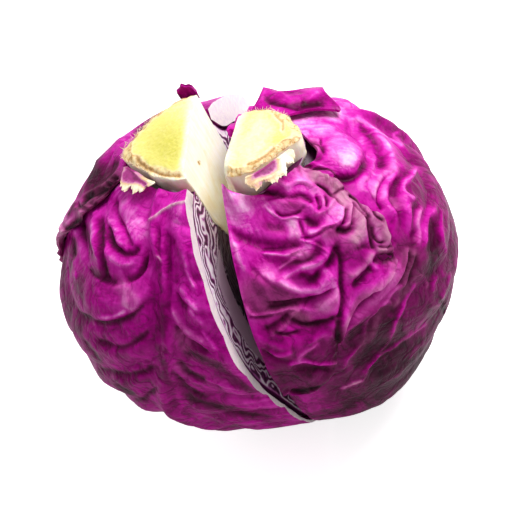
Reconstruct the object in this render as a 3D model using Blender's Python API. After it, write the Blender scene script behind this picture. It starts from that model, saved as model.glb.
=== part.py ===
"""A red cabbage cut lengthwise, its halves standing on their crowns and leaning slightly apart.

Units are metres and +Z is up. The stalk points up. Each half is drawn around its own middle, with
the knife's cut on the plane X = 0 and the near side of the head towards -Y, and is then leaned and
set down by its empty. Angles are in degrees: the fall is measured from the stalk down to the crown,
and the turn is measured around the stalk from +X, so the near side is at -90 or 270.
"""
import math

import bmesh
import bpy
import numpy as np
from mathutils import Matrix

MM = 0.001

# Driving dimensions of the head
HALF_WIDTH = 86 * MM
NEAR_DEPTH = 67 * MM
FAR_DEPTH = 76 * MM
CROWN_DEPTH = 98.5 * MM
SHOULDER_HEIGHT = 62.5 * MM
KNIFE_OFF_CENTRE = 7 * MM
LEAN = math.radians(1.95)
CROWN_GAP = 2.5 * MM
FLATTENED = 3.5 * MM
# Broad bulges and dents of the head: fall, turn and reach in degrees, and height in mm
UNEVEN = [(62, 12, 34, -7.0), (136, -56, 34, 3.4), (100, 220, 30, 4.0), (64, 192, 24, -6.0),
          (46, 128, 30, 5.2), (128, 262, 30, -3.0)]
CENTRE_SHIFT_X = 8.6 * MM
CENTRE_SHIFT_Y = -6.4 * MM

# Leaves
BLADE = 1.1 * MM
CUT_BLADE = 3.5 * MM
CUT_BLADE_REACH = 13 * MM
CUT_TAPER = 0.55
OVERLAP_RISE = 2.4 * MM
RIB_RISE = 2.6 * MM
PUCKER_RISE = 2.1 * MM
WRINKLE_RISE = 1.15 * MM
PETIOLE_ROOM = 1.0 * MM
KNIFE_SIDE_REACH = 24 * MM
KNIFE_SIDE_SHARE = 0.75
COLLAR_RISE = 6.0 * MM
HOLLOW_DEPTH = 7.5 * MM
HEART_BELOW_SKIN = 4.5 * MM
HEART_OFF_TABLE = 2.2 * MM
SEATING_GAP = 0.4 * MM

# Stalks: centre of the sawn end, its radius, its height above the middle, and the share of that
# radius at angles around the centre
LEFT_STALK_CENTRE = (-3 * MM, 6.5 * MM)
LEFT_STALK_RADIUS = 26 * MM
LEFT_STALK_TOP = SHOULDER_HEIGHT + 5.5 * MM
LEFT_STALK_OUTLINE = [(0, 1.03), (80, 1.03), (100, 1.04), (122, 1.0), (140, 1.01), (158, 1.05),
                      (172, 1.13), (184, 1.13), (196, 0.98), (210, 0.88), (227, 0.87), (245, 0.90),
                      (262, 0.98), (280, 1.03), (360, 1.03)]
RIGHT_STALK_CENTRE = (15 * MM, -6 * MM)
RIGHT_STALK_RADIUS = 18.5 * MM
RIGHT_STALK_TOP = SHOULDER_HEIGHT + 4.5 * MM
RIGHT_STALK_OUTLINE = [(0, 1.02), (10, 0.96), (26, 0.91), (46, 0.92), (73, 0.98), (92, 1.04), (107, 1.06),
                       (130, 1.05), (230, 1.05), (241, 1.12), (256, 1.06), (268, 0.99), (282, 0.90),
                       (300, 0.82), (318, 0.83), (332, 0.92), (344, 1.05), (352, 1.08), (360, 1.02)]
STALK_CLEARANCE = 2.2 * MM
STALK_SECTORS = 36
RIM_DROP = 1.6 * MM
STALK_TIP = -26 * MM
# The core inside the head: radius and height above the middle, in mm
CORE_PROFILE = [(26, 41), (23, 33), (18.5, 20), (13, 5), (8, -8), (4, -18)]
TORN_BASE_WALL = 1.5 * MM

# The right stump was cut askew: its cut starts at this height and slopes by these shares
ASKEW_START = 58 * MM
ASKEW_UPWARD = 0.30
ASKEW_BACKWARD = 0.16
ASKEW_NEAR_END = -23 * MM

LEFT, RIGHT = -1, 1
NEAR_CUT = {LEFT: 270.0, RIGHT: -90.0}
FAR_CUT = {LEFT: 90.0, RIGHT: 90.0}

# Points nearer than this to the cut lie on it, and points nearer than this to each other are one
ON_KNIFE = 1e-6
SAME_POINT = 1e-7


def smooth_step(x):
    """Rise smoothly from 0 to 1 as x goes from 0 to 1."""
    x = np.clip(x, 0.0, 1.0)
    return x * x * (3.0 - 2.0 * x)


def smooth_curve(points):
    """A smooth function through (fall, value) points, level past both ends."""
    knots, values = np.array(points, float).T
    steps = np.diff(values)
    slopes = np.gradient(values, knots)
    slopes[1:-1] *= steps[:-1] * steps[1:] > 0

    def curve(fall):
        fall = np.clip(fall, knots[0], knots[-1])
        k = np.clip(np.searchsorted(knots, fall) - 1, 0, len(knots) - 2)
        width = knots[k + 1] - knots[k]
        x = (fall - knots[k]) / width
        start = (1 + 2 * x) * (1 - x) ** 2 * values[k] + x * (1 - x) ** 2 * width * slopes[k]
        end = x * x * (3 - 2 * x) * values[k + 1] + x * x * (x - 1) * width * slopes[k + 1]
        return start + end

    return curve


def direction(fall, turn):
    """Unit vectors from the middle of the cut."""
    fall, turn = np.broadcast_arrays(np.radians(fall), np.radians(turn))
    ring = np.sin(fall)
    return np.stack([ring * np.cos(turn), ring * np.sin(turn), np.cos(fall)], -1)


def uneven(way):
    """Broad bulges and dents of the egg."""
    height = np.zeros(way.shape[:-1])
    for fall, turn, reach, rise in UNEVEN:
        away = np.degrees(np.arccos(np.clip(way @ direction(fall, turn), -1.0, 1.0)))
        height += rise * MM * (1.0 - smooth_step(away / reach))
    return height


def skin(way):
    """Distance from the middle of the cut to the smooth egg that the head fills."""
    depth = np.where(way[..., 1] > 0, FAR_DEPTH, NEAR_DEPTH)
    height = np.where(way[..., 2] > 0, SHOULDER_HEIGHT, CROWN_DEPTH)
    x, y, z = way[..., 0] / HALF_WIDTH, way[..., 1] / depth, way[..., 2] / height
    offset = KNIFE_OFF_CENTRE / HALF_WIDTH
    a, b, c = x * x + y * y + z * z, x * offset, offset * offset - 1
    return (-b + np.sqrt(b * b - a * c)) / a + uneven(way)


def swell(way):
    """Low swells that every leaf of the head follows, so that the leaves nest."""
    x, y, z = way[..., 0], way[..., 1], way[..., 2]
    waves = np.sin(7.0 * x + 3.0 * z + 1.0) + np.sin(6.0 * y - 5.0 * z + 2.2)
    return 0.42 * MM * (waves + np.sin(8.0 * z + 4.0 * x + 0.4))


def wrinkles(way, height, scale):
    """Winding folds like those of a walnut; a larger scale packs them closer."""
    p = way * scale
    bent = p + 0.9 * np.sin(0.8 * np.roll(p, 1, -1) + np.array([0.3, 1.9, 4.1]))
    x, y, z = bent[..., 0], bent[..., 1], bent[..., 2]
    folds = np.sin(x + 1.4 * np.sin(y)) + 0.6 * np.sin(z - 1.2 * np.sin(x))
    return height * (folds + 0.4)


def bump(fall, turn, at_fall, at_turn, reach, height):
    """One round swelling; reach is its radius in degrees of the head."""
    aside = (turn - at_turn) * math.sin(math.radians(at_fall))
    away = np.hypot(fall - at_fall, aside) / reach
    return height * (1.0 - smooth_step(away))


def ribbed(fall, turn, rib_turn, rise, pucker, spacing):
    """A middle rib between two grooves, and side veins that curve away from it."""
    aside = (turn - rib_turn) * np.sin(np.radians(fall))
    rib = rise * np.exp(-(aside / 2.6) ** 2) - 0.5 * rise * np.exp(-((np.abs(aside) - 6.0) / 2.5) ** 2)
    along = fall - 0.75 * np.abs(aside) + 0.009 * aside ** 2
    puckers = pucker * (np.abs(np.cos(math.pi * along / spacing)) - 0.55)
    return rib + puckers * smooth_step((np.abs(aside) - 4.0) / 8.0)


PETIOLE_OUTSIDE = smooth_curve([(28, 0.0), (36, 0.4), (52, 3.0), (64, 6.6), (74, 9.4), (84, 10.0), (100, 6.0),
                                (118, 1.0), (126, 0.0)])
PETIOLE_INSIDE = smooth_curve([(32, 0.0), (42, 6.0), (50, 7.4), (63, 4.6), (74, 0.5), (84, -1.0), (104, 0.0)])
KNIFE_SIDE_RISE = smooth_curve([(14, 3.0), (24, 6.6), (45, 7.6), (60, 6.4), (80, 5.0), (94, 3.8), (108, 2.2),
                                (122, 0.8), (134, 0.0)])


def petiole(fall, turn, profile):
    """The thick stem of the left back leaf, which the knife split along its length."""
    return MM * profile(fall) * (1.0 - smooth_step((turn - FAR_CUT[LEFT] - 6.0) / 28.0))


def knife_side(fall, turn):
    """How far the left front leaf, thick along the knife's edge, stands out of the egg there."""
    way = direction(fall, turn)
    near_knife = 1.0 - smooth_step(np.abs(way[..., 0]) * skin(way) / KNIFE_SIDE_REACH)
    return MM * KNIFE_SIDE_RISE(fall) * near_knife * (way[..., 1] < 0.0)


def far_hollow(fall, turn):
    """How much lower the right half lies beside the knife on its far shoulder."""
    away = np.hypot(fall - 40.0, (88.0 - turn) * np.sin(np.radians(fall))) / 34.0
    return HOLLOW_DEPTH * (1.0 - smooth_step(away))


def stalk_reach(turn, stalk):
    """Distance from the head's axis to the outside of a stalk, in the direction of turn."""
    centre, radius, _, outline = stalk
    turn = np.radians(turn)
    toward = centre[0] * np.cos(turn) + centre[1] * np.sin(turn)
    wide = radius + STALK_CLEARANCE
    for _ in range(8):
        reach = toward + np.sqrt(toward ** 2 - centre[0] ** 2 - centre[1] ** 2 + wide ** 2)
        angle = np.arctan2(reach * np.sin(turn) - centre[1], reach * np.cos(turn) - centre[0])
        wide = radius * outline(np.degrees(angle) % 360.0) + STALK_CLEARANCE
    return reach


def shoulder_fall(turn, stalk):
    """Fall at which the skin clears the side of a stalk."""
    reach = stalk_reach(turn, stalk)
    fall = np.full_like(np.asarray(turn, float), 25.0)
    for _ in range(12):
        fall = np.degrees(np.arcsin(reach / skin(direction(fall, turn))))
    return fall


def press_flat(points, level):
    """Lift what would sink under a plane that lies level above the table."""
    table = FLATTENED + level + math.sin(LEAN) * np.abs(points[..., 0])
    points[..., 2] = np.maximum(points[..., 2], table / math.cos(LEAN) - CROWN_DEPTH)
    return points


def srgb(red, green, blue):
    """Linear colour of a 0-255 screen colour."""
    linear = [((c / 255 + 0.055) / 1.055) ** 2.4 if c > 10 else c / 255 / 12.92 for c in (red, green, blue)]
    return (*linear, 1.0)


def make_material(name, colour, roughness):
    material = bpy.data.materials.new(name)
    material.use_nodes = True
    shader = material.node_tree.nodes["Principled BSDF"]
    shader.inputs["Base Color"].default_value = colour
    shader.inputs["Roughness"].default_value = roughness
    shader.inputs["Metallic"].default_value = 0.0
    return material


def finish_object(name, bm, half, material, smooth_angle=50):
    """Turn a bmesh into a named object of one half, with its faces pointing out."""
    bmesh.ops.remove_doubles(bm, verts=bm.verts, dist=SAME_POINT)
    bmesh.ops.triangulate(bm, faces=bm.faces)
    bmesh.ops.recalc_face_normals(bm, faces=bm.faces)
    mesh = bpy.data.meshes.new(name)
    bm.to_mesh(mesh)
    bm.free()
    mesh.shade_smooth()
    mesh.set_sharp_from_angle(angle=math.radians(smooth_angle))
    mesh.materials.append(material)
    obj = bpy.data.objects.new(name, mesh)
    obj.parent = half
    bpy.context.collection.objects.link(obj)
    return obj


def thin_solid(outer, inner):
    """Close two grids of points into one blade, split into triangles alike on both faces."""
    rows, columns = outer.shape[:2]
    bm = bmesh.new()
    front = [[bm.verts.new(p) for p in row] for row in outer]
    back = [[bm.verts.new(p) for p in row] for row in inner]
    for r in range(rows - 1):
        for c in range(columns - 1):
            for grid, turned in ((front, False), (back, True)):
                corner, side = grid[r][c], grid[r][c + 1]
                below, across = grid[r + 1][c], grid[r + 1][c + 1]
                for face in ((corner, side, across), (corner, across, below)):
                    bm.faces.new(face[::-1] if turned else face)
    edge = [(0, c) for c in range(columns)] + [(r, columns - 1) for r in range(1, rows)]
    edge += [(rows - 1, c) for c in range(columns - 2, -1, -1)] + [(r, 0) for r in range(rows - 2, 0, -1)]
    for (r, c), (next_r, next_c) in zip(edge, edge[1:] + edge[:1]):
        bm.faces.new((front[r][c], back[r][c], back[next_r][next_c]))
        bm.faces.new((front[r][c], back[next_r][next_c], front[next_r][next_c]))
    return bm


def turn_across(fall, across, low, high, rib=None, rib_at=0.5):
    """Turn at a share of the way across a leaf; the points crowd towards its rib, if it has one."""
    if rib is None:
        return low(fall) + across * (high(fall) - low(fall))
    before = np.clip(1.0 - across / rib_at, 0.0, 1.0) ** 1.35
    after = np.clip((across - rib_at) / (1.0 - rib_at), 0.0, 1.0) ** 1.35
    span = np.where(across < rib_at, low(fall) - rib(fall), high(fall) - rib(fall))
    return rib(fall) + span * np.where(across < rib_at, before, after)


def leaf_grid(stalk, low, high, bottom, rows, columns, rib=None, rib_at=0.5):
    """Falls and turns of a leaf's points, from the stalk down and from its low to its high edge."""
    across = np.linspace(0.0, 1.0, columns)[None, :]
    down = np.linspace(0.0, 1.0, rows)[:, None]
    top = shoulder_fall(turn_across(30.0, across, low, high, rib, rib_at), stalk)
    fall = top + down * (bottom(across) - top)
    turn = turn_across(fall, across, low, high, rib, rib_at)
    return fall, turn, down + 0 * across, across + 0 * down


def to_the_crown(across):
    return 180.0 + 0 * across


def blade_points(fall, turn, relief, risen=0.0, sunk=0.0, lifted=0.0, over_leaf=0.0):
    """Outer and inner points of a leaf; the knife's edge is as thick as the leaf's own rib.

    Risen and sunk are what a stem adds outside and inside. Lifted is how far the knife's edge
    stands off the egg, and over_leaf is 1 where the leaf lies on another leaf.
    """
    way = direction(fall, turn)
    outer = skin(way) + swell(way) + relief
    inner = outer - BLADE - risen - sunk
    near_knife = 1.0 - smooth_step(np.abs(way[..., 0]) * outer / CUT_BLADE_REACH)
    cut_blade = CUT_BLADE * (1.0 - CUT_TAPER * smooth_step((fall - 76.0) / 56.0))
    at_knife = skin(way) - cut_blade - sunk + lifted
    at_knife = at_knife + over_leaf * (outer - BLADE - at_knife)
    inner = inner + near_knife * (at_knife - inner)
    return way * outer[..., None], way * inner[..., None], way


def leaf(name, half, material, grid, relief, **thicker):
    """One outer leaf. The knife's edges are kept exactly on the plane of the cut."""
    fall, turn = grid[:2]
    outer, inner, _ = blade_points(fall, turn, relief, **thicker)
    for points in (outer, inner):
        on_knife = np.abs(points[..., 0]) < ON_KNIFE
        points[..., 0] = np.where(on_knife, 0.0, points[..., 0])
    press_flat(outer, 0.0)
    press_flat(inner, BLADE)
    return finish_object(name, thin_solid(outer, inner), half, material)


def margin_lift(closeness, fall, height, waves):
    """How far a free margin stands up, in waves along its length."""
    wave = 0.55 + 0.45 * np.sin(np.radians(fall) * waves + 0.8 * np.sin(np.radians(fall) * 7.0))
    return height * smooth_step(closeness) ** 2 * wave


def over(fall, turn, edge_turn, start=16.0):
    """Rise of an upper leaf where it lies on the leaf below, whose margin is at edge_turn."""
    beside = smooth_step((start + 4.0 - edge_turn + turn) / start)
    below = smooth_step((fall - 124.0) / 14.0)
    return OVERLAP_RISE * np.maximum(beside, below)


def build_left_leaves(half, materials, stalk):
    knife_near = smooth_curve([(0, NEAR_CUT[LEFT]), (180, NEAR_CUT[LEFT])])
    knife_far = smooth_curve([(0, FAR_CUT[LEFT]), (180, FAR_CUT[LEFT])])
    front_low = smooth_curve([(20, 160), (60, 156), (110, 156), (134, 144), (152, 108), (160, 90), (180, 90)])
    front_rib = smooth_curve([(28, 239), (44, 248), (58, 249), (77, 245), (104, 233), (150, 225)])
    back_high = smooth_curve([(20, 178), (33, 182), (43, 187), (52, 184), (60, 180), (72, 176), (90, 173),
                              (110, 172), (180, 172)])

    grid = leaf_grid(stalk, front_low, knife_near, to_the_crown, 35, 19, front_rib, 11 / 18)
    fall, turn, down, across = grid
    shown = smooth_step((turn - front_low(fall) - 14.0) / 16.0) * (1.0 - smooth_step((fall - 128.0) / 26.0))
    relief = shown * ribbed(fall, turn, front_rib(fall), RIB_RISE, PUCKER_RISE, 17.0)
    relief += shown * bump(fall, turn, 47.0, 214.0, 15.0, 2.2 * MM)
    thick = knife_side(fall, turn)
    leaf("left_front_leaf", half, materials["leaf"], grid, relief + thick, lifted=KNIFE_SIDE_SHARE * thick)

    def back_bottom(across):
        rounded = 34.0 * smooth_step((across - 0.55) / 0.45) ** 2
        return 152.0 - rounded + 2.5 * np.sin(across * 17.0)

    grid = leaf_grid(stalk, knife_far, back_high, back_bottom, 27, 18)
    fall, turn, down, across = grid
    veined = smooth_step((38.0 - np.abs(turn - 137.0)) / 20.0) * (1.0 - smooth_step((fall - 116.0) / 16.0))
    relief = veined * ribbed(fall, turn, 97.0, 0.0, PUCKER_RISE, 19.0)
    risen, sunk = petiole(fall, turn, PETIOLE_OUTSIDE), petiole(fall, turn, PETIOLE_INSIDE)
    relief += over(fall, turn, front_low(fall)) + risen
    relief += margin_lift((across - 0.80) / 0.2, fall, 2.6 * MM, 17.0) * smooth_step((fall - 29.0) / 8.0)
    relief += margin_lift((down - 0.86) / 0.14, turn, 1.6 * MM, 15.0)
    leaf("left_back_leaf", half, materials["leaf"], grid, relief, risen=risen, sunk=sunk)


def build_right_leaves(half, materials, stalk):
    knife_near = smooth_curve([(0, NEAR_CUT[RIGHT]), (180, NEAR_CUT[RIGHT])])
    knife_far = smooth_curve([(0, FAR_CUT[RIGHT]), (180, FAR_CUT[RIGHT])])
    back_low = smooth_curve([(10, -48), (56, -46), (70, -56), (82, -72), (92, -84), (101, -90), (180, -90)])
    front_high = smooth_curve([(20, -36), (32, -29), (39, -27), (47, -26), (52, -28), (58, -29.5),
                               (63, -28.5), (69, -31), (75, -33), (80, -35), (180, -35)])
    front_foot = smooth_curve([(-90, 108), (-79, 108), (-71, 105), (-67, 99), (-62.5, 88), (-58, 83.5),
                               (-52, 82), (-44, 80.5), (-39, 79), (-33, 76)])
    back_rib = smooth_curve([(10, 20), (40, 32), (90, 30), (140, 10), (180, 0)])

    grid = leaf_grid(stalk, back_low, knife_far, to_the_crown, 34, 21, back_rib, 0.55)
    fall, turn, down, across = grid
    past = np.maximum(turn - front_high(fall), fall - front_foot(turn))
    shown = smooth_step((past + 2.0) / 14.0) * (1.0 - smooth_step((fall - 128.0) / 26.0))
    relief = shown * ribbed(fall, turn, back_rib(fall), RIB_RISE, PUCKER_RISE, 18.0)
    relief += shown * bump(fall, turn, 45.0, -8.0, 15.0, 3.2 * MM)
    under_top_leaf = smooth_step((turn - 14.0) / 12.0) * (1.0 - smooth_step((turn - 72.0) / 12.0))
    under_top_leaf = under_top_leaf * (1.0 - smooth_step((fall - 48.0) / 12.0))
    relief = relief * (1.0 - under_top_leaf) - 0.8 * MM * under_top_leaf - far_hollow(fall, turn)
    leaf("right_back_leaf", half, materials["leaf"], grid, relief, lifted=-far_hollow(fall, turn))

    def front_bottom(across):
        return front_foot(-90.0 + 57.0 * across) + 1.2 * np.sin(15.0 * across)

    grid = leaf_grid(stalk, knife_near, front_high, front_bottom, 32, 19)
    fall, turn, down, across = grid
    way = direction(fall, turn)
    calm = smooth_step((fall - 34.0) / 14.0) * (1.0 - smooth_step((fall - 100.0) / 26.0))
    relief = wrinkles(way, WRINKLE_RISE, 15.0) * calm * smooth_step((turn + 90.0) / 10.0)
    over_back = smooth_step((18.0 - back_low(fall) + turn) / 16.0)
    collar = COLLAR_RISE * (1.0 - smooth_step(down / 0.18)) * (1.0 - smooth_step((turn + 82.0) / 16.0))
    collar = collar * (0.4 + 0.6 * smooth_step((turn + 90.0) / 8.0))
    relief += OVERLAP_RISE * over_back
    relief += margin_lift((across - 0.80) / 0.2, fall, 1.2 * MM, 19.0) + collar
    relief += margin_lift((down - 0.86) / 0.14, turn, 1.6 * MM, 15.0)
    leaf("right_front_leaf", half, materials["leaf"], grid, relief, lifted=collar, over_leaf=over_back)

    across = np.linspace(0.0, 1.0, 14)[None, :]
    down = np.linspace(0.0, 1.0, 7)[:, None]
    turn = 27.0 + across * (32.0 + 13.0 * down)
    top = shoulder_fall(turn, stalk) + 1.0
    bottom = 47.0 - 10.0 * smooth_step((across - 0.42) / 0.18) + 1.5 * np.sin(across * 16.0)
    fall = top + down * (bottom - top)
    relief = 3.0 * MM + 2.2 * MM * down * (0.5 + 0.5 * np.sin(across * 9.0 + 4.0))
    relief = relief + 0.6 * MM * np.sin(across * 16.0 + down * 3.0) * down
    outer, inner, way = blade_points(fall, turn, relief)
    inner = way * (np.linalg.norm(outer, axis=-1) - BLADE)[..., None]
    finish_object("right_top_leaf", thin_solid(outer, inner), half, materials["leaf"])


def build_heart(name, half, side, material, stalk_cutter, deepening):
    """The packed inner leaves of one half as one body, cut flat, with the stalk's room taken out."""
    falls = np.linspace(0.0, 180.0, 17)[:, None]
    turns = np.linspace(min(NEAR_CUT[side], FAR_CUT[side]), max(NEAR_CUT[side], FAR_CUT[side]), 21)[None, :]
    way = direction(falls, turns)
    distance = skin(way) - HEART_BELOW_SKIN - deepening(*np.broadcast_arrays(falls, turns))
    points = press_flat(way * distance[..., None], HEART_OFF_TABLE)
    points[..., 0] = np.where(np.abs(points[..., 0]) < ON_KNIFE, 0.0, points[..., 0])
    bm = bmesh.new()
    grid = [[bm.verts.new(p) for p in row] for row in points]
    for r in range(len(grid) - 1):
        for c in range(len(grid[0]) - 1):
            bm.faces.new((grid[r][c], grid[r][c + 1], grid[r + 1][c + 1], grid[r + 1][c]))
    bmesh.ops.remove_doubles(bm, verts=bm.verts, dist=SAME_POINT)
    bmesh.ops.contextual_create(bm, geom=[e for e in bm.edges if e.is_boundary])
    heart = finish_object(name, bm, half, material)
    cut = heart.modifiers.new("room for the stalk", "BOOLEAN")
    cut.operation = "DIFFERENCE"
    cut.solver = "EXACT"
    cut.object = stalk_cutter
    return heart


def left_heart_depth(fall, turn):
    """Room under the split stem, and the swelling under the leaf that is thick by the knife."""
    room = np.maximum(petiole(fall, turn, PETIOLE_INSIDE) + PETIOLE_ROOM, 0.0) * (turn < 180.0)
    return room - KNIFE_SIDE_SHARE * knife_side(fall, turn)


def stalk_body(stalk, grow):
    """A stalk turned around its axis: rough rim, side that swells into the head, blunt tip."""
    centre, radius, top, outline = stalk
    profile = [(0.0, top + 0.9 * MM), (0.55 * radius, top + 0.7 * MM), (0.90 * radius, top),
               (radius, top - RIM_DROP), (0.96 * radius, SHOULDER_HEIGHT - 9 * MM)]
    profile += [(reach * MM, height * MM) for reach, height in CORE_PROFILE]
    profile.append((0.0, STALK_TIP))
    around = np.radians(np.arange(STALK_SECTORS) * 360.0 / STALK_SECTORS + 5.0)
    bm = bmesh.new()
    rings = []
    for reach, height in profile:
        sunk = float(smooth_step((SHOULDER_HEIGHT - 6 * MM - height) / (18 * MM)))
        middle_x, middle_y = centre[0] * (1 - sunk), centre[1]
        if reach == 0.0:
            tip_height = height + (grow if height > 0 else -grow)
            rings.append([bm.verts.new((middle_x, middle_y, tip_height))] * STALK_SECTORS)
            continue
        shape = 1.0 + (1 - sunk) * (outline(np.degrees(around)) - 1.0 + 0.012 * np.sin(11.0 * around))
        ring_radius = reach * shape + grow
        ring_height = height + 0.5 * MM * (1 - sunk) * np.sin(7.0 * around) * (reach > 0.8 * radius)
        xs = middle_x + ring_radius * np.cos(around)
        ys = middle_y + ring_radius * np.sin(around)
        rings.append([bm.verts.new(p) for p in zip(xs, ys, ring_height)])
    for upper, lower in zip(rings, rings[1:]):
        for k in range(STALK_SECTORS):
            beside = (k + 1) % STALK_SECTORS
            corners = [upper[k], lower[k], lower[beside], upper[beside]]
            bm.faces.new(list(dict.fromkeys(corners)))
    return bm


def cut_away(bm, point, normal):
    """Cut a closed body by a plane and close it again; the side that normal points to is kept."""
    everything = list(bm.verts) + list(bm.edges) + list(bm.faces)
    bmesh.ops.bisect_plane(bm, geom=everything, dist=SAME_POINT, plane_co=point, plane_no=normal,
                           clear_inner=True)
    bmesh.ops.contextual_create(bm, geom=[e for e in bm.edges if e.is_boundary])


def build_stalk(name, half, side, material, stalk):
    """The sawn stalk with the core that the leaves grow from, cut flat by the knife."""
    bm = stalk_body(stalk, 0.0)
    cut_away(bm, (0, 0, 0), (side, 0, 0))
    if side == RIGHT:
        cut_away(bm, (0, ASKEW_NEAR_END, ASKEW_START), (1.0, -ASKEW_BACKWARD, -ASKEW_UPWARD))
    finish_object(name, bm, half, material)
    cutter = finish_object(name + "_cutter", stalk_body(stalk, SEATING_GAP), half, material)
    cutter.hide_render = True
    cutter.display_type = "WIRE"
    return cutter


def build_torn_base(name, half, material, stalk, turns, above_rim, flare, drop, lopsided, skew, seed):
    """What is left of a leaf that was torn off: a short skirt under the rim of the stalk.

    It starts above_rim over the rim, stands out by flare and hangs down by drop. Lopsided shortens
    it towards its last turn, skew slants it, and seed sets how its lower edge is torn.
    """
    centre, radius, top, outline = stalk
    across = np.linspace(0.0, 1.0, 11)[None, :]
    down = np.linspace(0.0, 1.0, 5)[:, None]
    turn = turns[0] + across * (turns[1] - turns[0])
    torn = 1.0 + 0.16 * np.sin(across * 13.0 + seed) + 0.10 * np.sin(across * 29.0 + 2 * seed)
    ends = np.sqrt(np.clip(1.0 - (2.0 * across - 1.0) ** 4, 0.12, 1.0)) * (1.0 - lopsided * across)
    length = down * torn * ends
    turn = turn + skew * length
    reach = radius * outline(turn % 360.0) + 1.6 * MM + flare * length ** 1.3
    pointed = 0.4 + 0.6 * np.sin(math.pi * across) * (1.0 + 0.3 * np.sin(14.0 * across))
    height = top + above_rim * (pointed if above_rim > 0 else 1.0) - drop * length
    turn = np.radians(turn)
    points = []
    for wall in (TORN_BASE_WALL, 0.0):
        xs = centre[0] + (reach + wall) * np.cos(turn)
        ys = centre[1] + (reach + wall) * np.sin(turn)
        points.append(np.stack([xs, ys, height + 0.3 * wall], -1))
    finish_object(name, thin_solid(*points), half, material)


def half_empty(name, side):
    """An empty that leans one half and stands it on the table."""
    crown = Matrix.Translation((0, 0, -CROWN_DEPTH))
    place = (side * CROWN_GAP / 2 + CENTRE_SHIFT_X, CENTRE_SHIFT_Y, CROWN_DEPTH - FLATTENED)
    stand = Matrix.Translation(place)
    empty = bpy.data.objects.new(name, None)
    empty.matrix_world = stand @ crown @ Matrix.Rotation(side * LEAN, 4, "Y") @ crown.inverted()
    bpy.context.collection.objects.link(empty)
    return empty


def main():
    for obj in list(bpy.data.objects):
        bpy.data.objects.remove(obj)
    materials = {
        "leaf": make_material("red_cabbage_leaf", srgb(170, 40, 140), 0.38),
        "heart": make_material("packed_leaves", srgb(120, 50, 110), 0.45),
        "stalk": make_material("stalk_flesh", srgb(245, 240, 180), 0.5),
        "base": make_material("torn_leaf_base", srgb(235, 215, 190), 0.5),
    }
    left = half_empty("left_half", LEFT)
    right = half_empty("right_half", RIGHT)

    stalk = (LEFT_STALK_CENTRE, LEFT_STALK_RADIUS, LEFT_STALK_TOP, smooth_curve(LEFT_STALK_OUTLINE))
    cutter = build_stalk("left_stalk", left, LEFT, materials["stalk"], stalk)
    build_heart("left_heart", left, LEFT, materials["heart"], cutter, left_heart_depth)
    build_left_leaves(left, materials, stalk)
    build_torn_base("left_leaf_base", left, materials["base"], stalk, (193.0, 240.0), -2.6 * MM,
                    11.5 * MM, 2.6 * MM, 0.78, 14.0, 0.5)
    build_torn_base("left_top_leaf", left, materials["leaf"], stalk, (86.0, 101.0), 3.4 * MM,
                    4.0 * MM, 12.0 * MM, 0.3, 0.0, 2.0)

    stalk = (RIGHT_STALK_CENTRE, RIGHT_STALK_RADIUS, RIGHT_STALK_TOP, smooth_curve(RIGHT_STALK_OUTLINE))
    cutter = build_stalk("right_stalk", right, RIGHT, materials["stalk"], stalk)
    build_heart("right_heart", right, RIGHT, materials["heart"], cutter, far_hollow)
    build_right_leaves(right, materials, stalk)
    build_torn_base("right_leaf_base", right, materials["base"], stalk, (-98.0, -34.0), -1.4 * MM,
                    7.0 * MM, 3.6 * MM, 0.2, 0.0, 1.2)


main()
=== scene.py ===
# %% [markdown]
# # A red cabbage, halved
# A red cabbage has been cut lengthwise through its stalk, and its two halves stand side by side, a
# little ajar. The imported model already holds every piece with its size. This script gives each
# piece its fine shape and its finish. It reads nothing but that model.

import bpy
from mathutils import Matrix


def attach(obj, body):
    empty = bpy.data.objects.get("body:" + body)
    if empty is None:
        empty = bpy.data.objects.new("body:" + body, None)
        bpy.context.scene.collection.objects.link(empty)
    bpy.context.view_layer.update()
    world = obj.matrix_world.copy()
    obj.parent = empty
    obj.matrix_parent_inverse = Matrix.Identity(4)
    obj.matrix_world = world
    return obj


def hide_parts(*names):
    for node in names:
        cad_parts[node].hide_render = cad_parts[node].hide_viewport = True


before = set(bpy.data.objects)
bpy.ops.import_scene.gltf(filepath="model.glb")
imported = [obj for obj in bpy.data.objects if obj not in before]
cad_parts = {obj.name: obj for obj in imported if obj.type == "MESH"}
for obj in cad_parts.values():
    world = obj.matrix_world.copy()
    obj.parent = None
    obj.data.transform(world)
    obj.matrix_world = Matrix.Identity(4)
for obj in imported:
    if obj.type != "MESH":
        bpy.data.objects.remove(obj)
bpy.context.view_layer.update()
print("pieces in the model:", sorted(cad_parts))

# %% Modules and units
import math

import bmesh
import bpy
import numpy as np
from mathutils import Matrix, Vector

MM = 0.001
LEFT, RIGHT = -1, 1
TINY = 1e-9
ON_KNIFE = 1e-6


def add_object(name, data):
    """A new object of the scene, at the origin and unturned."""
    obj = bpy.data.objects.new(name, data)
    bpy.context.collection.objects.link(obj)
    return obj


# %% [markdown]
# ## The camera comes first
# Many folds of this cabbage are one of a kind, so they are placed by where the photograph shows
# them. For that the script needs the photograph's camera as plain numbers before there is any leaf:
# its direction, its roll and its focal length. A pixel is then found for every point of a leaf.

# %% The photograph's camera
PHOTO_SIZE = 512
FOCAL_PIXELS = 1241.9
SENSOR_WIDTH = 36.0
AZIMUTH = math.radians(23.25)
ELEVATION = math.radians(41.37)
ROLL = math.radians(-29.06)
DISTANCE = 0.56
TARGET = np.array([3.4, -6.4, 91.2]) * MM

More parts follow.
